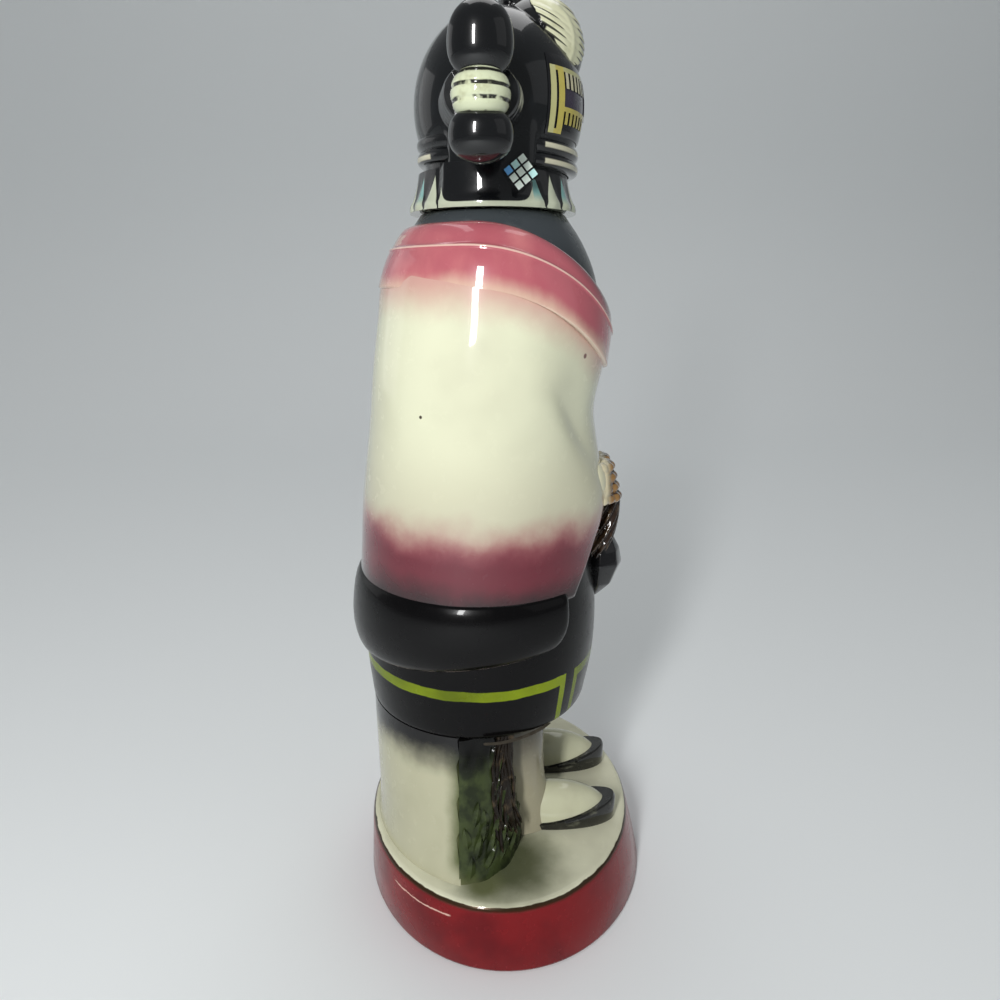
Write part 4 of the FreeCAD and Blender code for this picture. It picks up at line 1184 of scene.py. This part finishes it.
def collar_place(across, up):
    turn = 2 * math.pi * across
    radius, height = row_at(COLLAR_PROFILE, up)
    drape = drape_share(turn)
    if height > 0.2575 and radius > 0.0240:
        scallop = 0.0006 * abs(math.sin(FEATHERS * turn / 2)) ** 2 * (0.2700 - height) / 0.0125
        radius += (-scallop) * (1 - drape) + drape * max(0.0, 0.0280 - radius)
        radius = min(radius, 0.02925)
    if height > 0.2690:
        height += 0.0007 * drape
    return round_point(NECK_MIDDLE, turn, radius, height)


collar_net = laid_net(312, len(COLLAR_PROFILE) - 1, collar_place)
bmesh.ops.bridge_loops(collar_net, edges=open_edges(collar_net))
bmesh.ops.recalc_face_normals(collar_net, faces=collar_net.faces)
collar_glaze = glaze("collar_glaze", linear(14, 15, 17))
z_axis = axes(collar_glaze)["Z"]
collar_angle = calc("ABSOLUTE", turn_about(collar_glaze, NECK_MIDDLE))
collar_turn = calc("MULTIPLY_ADD", collar_angle, FEATHERS / (2 * math.pi), 0.5)
feather_share = calc("ABSOLUTE", minus(calc("FRACT", collar_turn), 0.5))
feather_height = times(minus(z_axis, 0.2574), 1 / 0.0098)
feather_edge = minus(0.47, times(feather_height, 0.44))
feather_mask = fade(minus(feather_edge, feather_share), 0.0, 0.04)
drape_middle = (DRAPE_FRONT + DRAPE_BACK) / 2
drape_half = (DRAPE_BACK - DRAPE_FRONT) / 2
from_drape = calc("ABSOLUTE", minus(collar_angle, drape_middle))
drape_reach = times(from_drape, 1 / drape_half)
drape_curve = calc("POWER", drape_reach, 10.0)
drape_foot = calc("MULTIPLY_ADD", drape_curve, 0.0050, 0.2588)
under_drape = minus(drape_foot, z_axis)
beside_drape = fade(drape_reach, 1.0, 1.03)
open_side = calc("MAXIMUM", fade(under_drape, 0.0, 0.0003), beside_drape)
inside_drape = calc("LESS_THAN", drape_reach, 1.0)
feathers_free = times(feather_mask, minus(1.0, inside_drape))
feather_mask = calc("MAXIMUM", feathers_free, times(inside_drape, open_side))
paint(collar_glaze, feather_mask, linear(190, 196, 172))
feather_number = calc("FRACT", times(calc("FLOOR", collar_turn), 0.5))
turquoise = calc("LESS_THAN", feather_number, 0.25)
turquoise = times(feather_mask, turquoise)
turquoise = times(turquoise, fade(feather_height, 0.10, 0.50))
paint(collar_glaze, times(turquoise, minus(0.9, inside_drape)), linear(112, 170, 168))
drape_line = band(drape_reach, 0.955, 0.990, 0.008)
drape_line = times(drape_line, minus(1.0, open_side))
paint(collar_glaze, times(drape_line, 0.5), linear(120, 126, 124))
collar = cast_piece("glazed_collar", collar_net, collar_glaze)
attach(collar, "head_stopper")
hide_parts("feather_collar")


# Head: a black glazed egg on a short trunk, hollow, cast in one with the collar under it. The
# smooth dome stands for the hair. Two beads run round the neck, painted white in front and behind.
HEAD_MIDDLE, HEAD_HEIGHT = 0.0008, 0.2900
HEAD_RADIUS, HEAD_RISE = 0.0285, 0.0315
head_line = [
    (0.0, 0.2701), (0.0120, 0.2701), (0.0240, 0.2701), (0.0249, 0.2704), (0.0250, 0.2712), (0.0250, 0.2740)
]
for step in range(40):
    lift = -0.36 + (math.pi / 2 + 0.36) * step / 39
    head_line.append((HEAD_RADIUS * math.cos(lift), HEAD_HEIGHT + HEAD_RISE * math.sin(lift)))
head_line[-1] = (0.0, HEAD_HEIGHT + HEAD_RISE)


def head_place(across, up):
    turn = 2 * math.pi * across
    radius, height = row_at(head_line, up)
    if radius > 0.0245 and height < 0.2860:
        radius += (0.0279 - radius) * drape_share(turn) * min((0.2860 - height) / 0.006, 1.0)
    return round_point(HEAD_MIDDLE, turn, radius, height)


head_net = laid_net(144, len(head_line) - 1, head_place)
head_glaze = glaze("head_glaze", linear(15, 17, 19))
patches(head_glaze, linear(24, 27, 30), 0.55, 0.85, 160.0)
head = cast_piece("glazed_head", head_net, head_glaze)
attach(head, "head_stopper")
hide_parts("head_shell")

RING_PROFILE = (
    (0.0246, 0.2722),
    (0.0264, 0.2723),
    (0.0273, 0.2729),
    (0.02772, 0.2738),
    (0.02775, 0.2746),
    (0.0274, 0.2756),
    (0.0268, 0.2762),
    (0.0265, 0.2765),
    (0.0268, 0.2769),
    (0.0274, 0.2775),
    (0.02775, 0.2785),
    (0.02772, 0.2793),
    (0.0274, 0.2801),
    (0.0266, 0.2807),
    (0.0250, 0.2808),
)


def ring_place(across, up):
    turn = 2 * math.pi * across
    radius, height = row_at(RING_PROFILE, up)
    radius -= 0.0012 * drape_share(turn)
    height -= 0.0032 * (0.5 + 0.5 * math.cos(turn)) ** 0.8
    return round_point(HEAD_MIDDLE, turn, radius, height)


ring_net = laid_net(128, len(RING_PROFILE) - 1, ring_place)
bmesh.ops.bridge_loops(ring_net, edges=open_edges(ring_net))
bmesh.ops.recalc_face_normals(ring_net, faces=ring_net.faces)
ring_glaze = glaze("ring_glaze", linear(15, 16, 18))
ring_turn = calc("ABSOLUTE", turn_about(ring_glaze, HEAD_MIDDLE))
ring_split = net_shares(ring_glaze)
lower_bead = band(ring_split["Y"], 0.17, 0.29, 0.02)
upper_bead = band(ring_split["Y"], 0.68, 0.80, 0.02)
front_part = fall(ring_turn, 0.98, 1.00)
nape_part = fade(ring_turn, 2.46, 2.50)
white_front = times(calc("MAXIMUM", lower_bead, upper_bead), front_part)
white_mask = calc("MAXIMUM", white_front, times(lower_bead, nape_part))
paint(ring_glaze, white_mask, linear(206, 202, 176))
neck_ring = cast_piece("glazed_neck_ring", ring_net, ring_glaze)
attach(neck_ring, "head_stopper")
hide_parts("neck_ring")


# Mask: a thin curved plate on the front of the head. Each eye is a dark slot in a raised yellow
# frame, with a comb of lashes above and below, laid on as lines of slip and painted.
def head_point(turn, height, growth):
    """A point over the head's egg, turn in radians from the front towards the left."""
    lift = math.sqrt(max(0.0, 1 - ((height - HEAD_HEIGHT) / (HEAD_RISE + growth)) ** 2))
    radius = (HEAD_RADIUS + growth) * lift
    return round_point(HEAD_MIDDLE, turn, radius, height)


MASK_FOOT, MASK_TOP = 0.2792, 0.3026
MASK_REACH, SLIP_LIFT = 0.985, 0.00032
TEETH = ((0.254, 0.304), (0.340, 0.390), (0.427, 0.477), (0.513, 0.563), (0.600, 0.650), (0.687, 0.739))
TOOTH_EDGES = tuple(edge for tooth in TEETH for edge in tooth)
EYE_INNER, FRAME_INNER, COMB_END = 0.115, 0.165, 0.770
FRAME_END, RIM_START, EYE_OUTER = 0.865, 0.900, 0.981
EYE_LINES = (EYE_INNER, FRAME_INNER, *TOOTH_EDGES, COMB_END, FRAME_END, RIM_START, EYE_OUTER)
EYE_FOOT, CORNER_TOP, TEETH_FOOT, BAR_FOOT, SLOT_FOOT = 0.023, 0.08, 0.148, 0.297, 0.355
SLOT_TOP, BAR_TOP, EYE_TOP = 0.582, 0.781, 0.840
mask_columns = [0.0]
for line in EYE_LINES:
    mask_columns.append((1 - line) / 2)
mask_columns = sorted(set(mask_columns + [1 - share for share in mask_columns] + [0.5, 1.0]))
mask_rows = [
    0.0,
    EYE_FOOT,
    CORNER_TOP,
    TEETH_FOOT,
    0.22,
    BAR_FOOT,
    SLOT_FOOT,
    0.43,
    0.51,
    SLOT_TOP,
    0.68,
    BAR_TOP,
    EYE_TOP,
    0.92,
    1.0,
]


def mask_place(across, up):
    column_share = row_at(mask_columns, across)
    row_share = row_at(mask_rows, up)
    height = MASK_FOOT + (MASK_TOP - MASK_FOOT) * row_share
    edge = min(column_share, 1 - column_share, row_share, 1 - row_share)
    return head_point((column_share - 0.5) * 2 * MASK_REACH, height, 0.0002 if edge < 0.001 else 0.00055)


mask_net = laid_net(len(mask_columns) - 1, len(mask_rows) - 1, mask_place)
mask_black = glaze("mask_black", linear(16, 16, 19))
mask_yellow = glaze("mask_yellow", linear(196, 182, 92))
patches(mask_yellow, linear(170, 160, 98), 0.5, 0.8, 300.0)
mask_cream = glaze("mask_cream", linear(206, 200, 164))
mask_eye = glaze("mask_eye", linear(54, 46, 64))
mask_straw = glaze("mask_straw", linear(188, 186, 130))
YELLOW, CREAM, EYE, STRAW = 1, 2, 3, 4
raised = {YELLOW: [], CREAM: [], STRAW: []}
for face in mask_net.faces:
    middle = face.calc_center_median()
    turn = math.atan2(middle.x, HEAD_MIDDLE - middle.y)
    out = abs(turn) / MASK_REACH
    up = (middle.z - MASK_FOOT) / (MASK_TOP - MASK_FOOT)
    tooth = any(low < out < high for low, high in TEETH)
    if EYE_INNER < out < EYE_OUTER and EYE_FOOT < up < EYE_TOP:
        if out > RIM_START or (out < COMB_END and up > BAR_TOP):
            face.material_index = STRAW
        elif COMB_END < out < FRAME_END or up > BAR_TOP or (out > COMB_END and up < CORNER_TOP):
            face.material_index = YELLOW
        elif out < FRAME_INNER and up > BAR_FOOT:
            face.material_index = YELLOW
        elif SLOT_TOP < up and tooth:
            face.material_index = CREAM
        elif BAR_FOOT < up < SLOT_FOOT and out < COMB_END:
            face.material_index = YELLOW
        elif TEETH_FOOT < up < BAR_FOOT and tooth:
            face.material_index = YELLOW
        elif SLOT_FOOT < up < SLOT_TOP and out < COMB_END:
            face.material_index = EYE
        if face.material_index in raised:
            raised[face.material_index].append(face)
for faces in raised.values():
    drawn = bmesh.ops.extrude_face_region(mask_net, geom=faces)["geom"]
    lifted = [part for part in drawn if isinstance(part, bmesh.types.BMVert)]
    for corner in lifted:
        outward = Vector((corner.co.x, corner.co.y - HEAD_MIDDLE, (corner.co.z - HEAD_HEIGHT) * 0.8))
        corner.co += outward.normalized() * SLIP_LIFT
    bmesh.ops.delete(mask_net, geom=faces, context="FACES_KEEP_BOUNDARY")
mask = cast_piece(
    "glazed_mask", mask_net, mask_black, mask_yellow, mask_cream, mask_eye, mask_straw, crease=40.0
)
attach(mask, "head_stopper")
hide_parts("face_mask")


# Hair whorls: at each side a stub wrapped in white cord stands out from the head and carries two
# black lobes of hair, one above the other, bound in the middle with rounds of cream cord.
WHORL_DEPTH, WHORL_HEIGHT, WHORL_REACH = 0.0055, 0.2870, 0.0450
LOBE_WIDE, LOBE_DEEP, LOBE_FLAT = 0.0075, 0.0095, 0.0098
TIE_WIDE, TIE_DEEP = 0.0084, 0.0087
lobe_glaze = glaze("lobe_glaze", linear(13, 14, 16))
lobe_reach = calc("ABSOLUTE", axes(lobe_glaze)["X"])
seam = band(lobe_reach, WHORL_REACH - 0.00020, WHORL_REACH + 0.00020, 0.00014)
paint(lobe_glaze, times(seam, 0.55), linear(150, 156, 150))
tie_cream = glaze("tie_cream", linear(214, 220, 186))
patches(tie_cream, linear(186, 188, 150), 0.5, 0.75, 260.0, 4.0)
TIE_MIDDLE, TIE_HALF = WHORL_HEIGHT - 0.0017, 0.0075
CORD_PITCH, CORD_START = 0.48, 0.18
tie_level = times(minus(axes(tie_cream)["Z"], TIE_MIDDLE), 1 / TIE_HALF)
tie_level = calc("MULTIPLY_ADD", mottle(tie_cream, 150.0, 2.0), 0.12, minus(tie_level, 0.06))
cord_share = calc("MULTIPLY_ADD", tie_level, 1 / CORD_PITCH, 0.5 - CORD_START / CORD_PITCH)
cord_gap = calc("ABSOLUTE", minus(calc("FRACT", cord_share), 0.5))
cord_line = fall(cord_gap, 0.10, 0.19)
brush = fade(mottle(tie_cream, 190.0, 3.0, (1.0, 1.0, 0.5)), 0.40, 0.50)
paint(tie_cream, times(cord_line, brush), linear(38, 38, 32))
stub_glaze = glaze("stub_glaze", linear(15, 16, 18))
stub_reach = calc("ABSOLUTE", axes(stub_glaze)["X"])
stub_height = band(axes(stub_glaze)["Z"], WHORL_HEIGHT - 0.0026, WHORL_HEIGHT + 0.0056, 0.0016)
stub_front = calc("LESS_THAN", axes(stub_glaze)["Y"], WHORL_DEPTH)
stub_height = times(stub_height, stub_front)
for near, far in ((0.0310, 0.0326), (0.0342, 0.0358)):
    ring_mask = times(band(stub_reach, near, far, 0.00012), stub_height)
    paint(stub_glaze, ring_mask, linear(214, 214, 190))
for side_name, side in (("right", -1), ("left", 1)):
    lobe_net = bmesh.new()
    for middle, half_height, taper in (
        (WHORL_HEIGHT + 0.0122, 0.0107, 0.06), (WHORL_HEIGHT - 0.0123, 0.0079, 0.0)
    ):
        egg = bmesh.ops.create_uvsphere(lobe_net, u_segments=64, v_segments=48, radius=1.0)["verts"]
        for corner in egg:
            slope = math.atan2(abs(corner.co.z), max(1e-6, math.hypot(corner.co.x, corner.co.y)))
            girth = (1 - taper * corner.co.z) * (1 + 0.05 * math.sin(2 * slope) ** 2)
            x, y, z = corner.co
            corner.co = Vector((LOBE_WIDE * x * girth, LOBE_DEEP * y * girth, half_height * z))
            corner.co.y = max(-LOBE_FLAT, min(LOBE_FLAT, corner.co.y))
        bmesh.ops.translate(lobe_net, verts=egg, vec=(WHORL_REACH * side, WHORL_DEPTH, middle))
    lobes = cast_piece(f"glazed_{side_name}_lobes", lobe_net, lobe_glaze)
    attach(lobes, "head_stopper")
    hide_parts(f"{side_name}_whorl_lobes")

    tie_net = bmesh.new()
    bmesh.ops.create_uvsphere(tie_net, u_segments=72, v_segments=60, radius=1.0)
    for corner in tie_net.verts:
        share = (corner.co.z - CORD_START) / CORD_PITCH + 0.5
        gap = abs(share % 1.0 - 0.5)
        girth = 1 + 0.16 * abs(corner.co.z) ** 2 - 0.045 * math.exp(-((gap / 0.14) ** 2))
        corner.co = Vector(
            (TIE_WIDE * girth * corner.co.x, TIE_DEEP * girth * corner.co.y, TIE_HALF * corner.co.z)
        )
    bmesh.ops.translate(tie_net, verts=tie_net.verts, vec=(WHORL_REACH * side, WHORL_DEPTH, TIE_MIDDLE))
    tie = cast_piece(f"glazed_{side_name}_tie", tie_net, tie_cream)
    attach(tie, "head_stopper")
    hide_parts(f"{side_name}_whorl_tie")

    stub_line = []
    for along in range(25):
        share = along / 24
        rounds = 0.0004 * abs(math.sin(share * 5 * math.pi))
        stub_line.append((0.0240 + 0.0150 * share, 0.0, 0.0135 - 0.0026 * share + rounds))
    stub_net = turned(stub_line, (0.0, 0.0, 0.0), (1.0, 0.0, 0.0), 56)
    bmesh.ops.holes_fill(stub_net, edges=open_edges(stub_net))
    bmesh.ops.scale(stub_net, verts=stub_net.verts, vec=(side, 1.0, 0.8))
    bmesh.ops.translate(stub_net, verts=stub_net.verts, vec=(0.0, WHORL_DEPTH, WHORL_HEIGHT))
    bmesh.ops.recalc_face_normals(stub_net, faces=stub_net.faces)
    stub = cast_piece(f"glazed_{side_name}_stub", stub_net, stub_glaze)
    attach(stub, "head_stopper")
    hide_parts(f"{side_name}_whorl_stub")


# Ear tablets: small square plaques of mosaic, turquoise, white and blue cells between black lines,
# hung askew over the collar at each side.
TABLET_TILT, TABLET_HALF, TABLET_THICK = math.radians(38), 0.0041, 0.0045
CELL_GROOVE, CELL_LIFT = 0.00030, 0.00035
tablet_black = glaze("tablet_black", linear(14, 15, 17))
tablet_white = glaze("tablet_white", linear(222, 234, 224))
tablet_turquoise = glaze("tablet_turquoise", linear(186, 226, 222))
tablet_blue = glaze("tablet_blue", linear(106, 172, 228))
TABLET_CELLS = (1, 1, 2, 1, 1, 1, 3, 2, 1)
for side_name, side in (("right", -1), ("left", 1)):
    tablet_net = bmesh.new()
    bmesh.ops.create_grid(tablet_net, x_segments=3, y_segments=3, size=TABLET_HALF)
    cells = list(tablet_net.faces)
    bmesh.ops.inset_individual(tablet_net, faces=cells, thickness=CELL_GROOVE, use_even_offset=True)
    for number, cell in enumerate(cells):
        cell.material_index = TABLET_CELLS[number]
        lift = bmesh.ops.extrude_discrete_faces(tablet_net, faces=[cell])["faces"]
        bmesh.ops.translate(tablet_net, verts=lift[0].verts[:], vec=(0.0, 0.0, CELL_LIFT))
    rim = open_edges(tablet_net)
    drawn = bmesh.ops.extrude_edge_only(tablet_net, edges=rim)["geom"]
    back = [part for part in drawn if isinstance(part, bmesh.types.BMVert)]
    bmesh.ops.translate(tablet_net, verts=back, vec=(0.0, 0.0, -TABLET_THICK))
    bmesh.ops.holes_fill(tablet_net, edges=open_edges(tablet_net))
    stand = Matrix(((0.0, 0.0, -1.0), (-1.0, 0.0, 0.0), (0.0, 1.0, 0.0)))
    for corner in tablet_net.verts:
        corner.co = Matrix.Rotation(-TABLET_TILT, 3, "X") @ (stand @ corner.co)
        corner.co.x *= -side
    bmesh.ops.translate(tablet_net, verts=tablet_net.verts, vec=(0.0292 * side, -0.0065, 0.2670))
    bmesh.ops.recalc_face_normals(tablet_net, faces=tablet_net.faces)
    tablet_glazes = (tablet_black, tablet_white, tablet_turquoise, tablet_blue)
    tablet = cast_piece(f"glazed_{side_name}_tablet", tablet_net, *tablet_glazes, crease=30.0)
    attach(tablet, "head_stopper")
    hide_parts(f"{side_name}_ear_tablet")


# Plumes and crown knot: two broad feathers swell side by side over the forehead and rise to the knot
# on the crown. Each is cream with a raised shaft and dark strokes between its barbs, and the knot is
# a plain black button.
PLUME_MIDDLE = Vector((0.0, -0.0118, 0.3080))
PLUME_WIDTH, PLUME_DEPTH, PLUME_HEIGHT = 0.0164, 0.0164, 0.0169
PLUME_START, PLUME_ROOT, PLUME_RUN = -115.0, -27.0, 128.0
SHAFT_TURN, BARB_REACH = 43.0, 37.0
BARB_PITCH, BARB_FALL = 0.0021, 0.5
plume_black = glaze("plume_glaze", linear(15, 16, 18))
plume_split = net_shares(plume_black)
plume_across = calc("MULTIPLY_ADD", plume_split["X"], 90.0 / BARB_REACH, -SHAFT_TURN / BARB_REACH)
plume_across = calc("ABSOLUTE", plume_across)
plume_along = calc(
    "MULTIPLY_ADD", plume_split["Y"], 360.0 / PLUME_RUN, (PLUME_START - PLUME_ROOT) / PLUME_RUN
)
_, y_axis, z_axis = axes(plume_black)
barb_level = minus(z_axis, times(y_axis, BARB_FALL))
barb_share = calc("FRACT", times(barb_level, 1 / BARB_PITCH))
from_middle = calc("ABSOLUTE", calc("MULTIPLY_ADD", plume_along, 2.0, -1.0))
vane_square = minus(1.0, calc("POWER", from_middle, 2.6))
vane = calc("SQRT", calc("MAXIMUM", vane_square, 0.0))
barb_tip = minus(1.0, times(barb_share, 0.16))
vane_edge = minus(times(vane, barb_tip), plume_across)
vane_mask = fade(vane_edge, 0.0, 0.03)
paint(plume_black, vane_mask, linear(218, 218, 184))
paint(plume_black, times(vane_mask, fade(mottle(plume_black, 220.0), 0.5, 0.8)), linear(196, 196, 160))
barb_gap = calc("ABSOLUTE", minus(barb_share, 0.5))
barb_width = calc("MULTIPLY_ADD", plume_across, -0.30, 0.53)
barb_line = fade(minus(barb_gap, barb_width), -0.03, 0.03)
barb_outer = fade(minus(plume_across, times(vane, 0.30)), 0.0, 0.12)
paint(plume_black, times(times(barb_line, barb_outer), 0.92), linear(20, 20, 21))


def plume_relief(across, along, level):
    """Height of the feather over its egg: a rounded shaft and slanting barbs."""
    vane = math.sqrt(max(0.0, 1 - abs(2 * along - 1) ** 2.6)) if 0 < along < 1 else 0.0
    if abs(across) > vane:
        return -0.0005
    shaft = 0.0003 * math.exp(-((across / 0.10) ** 2))
    barb = math.sin(math.pi * (level / BARB_PITCH % 1.0))
    return shaft + 0.0003 * barb * min(1.0, abs(across) / 0.4) - 0.0002


def plume_place(across, up):
    turn = math.radians(90.0 * across)
    lift = math.radians(PLUME_START + 360.0 * up)
    wide = (90.0 * across - SHAFT_TURN) / BARB_REACH
    along = (PLUME_START + 360.0 * up - PLUME_ROOT) / PLUME_RUN
    groove = 0.0010 * max(0.0, 1 - across / 0.10) ** 2
    y = PLUME_MIDDLE.y - PLUME_DEPTH * math.cos(turn) * math.cos(lift)
    z = PLUME_MIDDLE.z + PLUME_HEIGHT * math.cos(turn) * math.sin(lift)
    growth = plume_relief(wide, along, z - BARB_FALL * y) - groove
    return PLUME_MIDDLE + Vector(
        (
            -(PLUME_WIDTH + growth) * math.sin(turn),
            -(PLUME_DEPTH + growth) * math.cos(turn) * math.cos(lift),
            (PLUME_HEIGHT + growth) * math.cos(turn) * math.sin(lift),
        )
    )


for side_name, side in (("right", 1), ("left", -1)):
    plume_net = laid_net(72, 288, plume_place)
    bmesh.ops.scale(plume_net, verts=plume_net.verts, vec=(side, 1.0, 1.0))
    bmesh.ops.holes_fill(plume_net, edges=open_edges(plume_net))
    bmesh.ops.recalc_face_normals(plume_net, faces=plume_net.faces)
    plume = cast_piece(f"glazed_{side_name}_plume", plume_net, plume_black, crease=70.0)
    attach(plume, "head_stopper")
    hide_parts(f"{side_name}_plume")

KNOT_RADIUS, KNOT_HALF, KNOT_HEIGHT = 0.0057, 0.0049, 0.3234
knot_net = bmesh.new()
bmesh.ops.create_uvsphere(knot_net, u_segments=48, v_segments=32, radius=1.0)
for corner in knot_net.verts:
    fold = 1 + 0.05 * math.cos(5 * math.atan2(corner.co.y, corner.co.x)) * (1 - corner.co.z ** 2)
    x, y, z = corner.co
    corner.co = Vector((KNOT_RADIUS * x * fold, KNOT_RADIUS * y * fold, KNOT_HALF * z))
bmesh.ops.translate(knot_net, verts=knot_net.verts, vec=(0.0, HEAD_MIDDLE - 0.006, KNOT_HEIGHT))
knot_glaze = glaze("knot_glaze", linear(15, 16, 18))
patches(knot_glaze, linear(30, 33, 36), 0.6, 0.8, 300.0)
knot = cast_piece("glazed_knot", knot_net, knot_glaze)
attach(knot, "head_stopper")
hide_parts("crown_knot")

# Last, the scene is brought up to date.
bpy.context.view_layer.update()
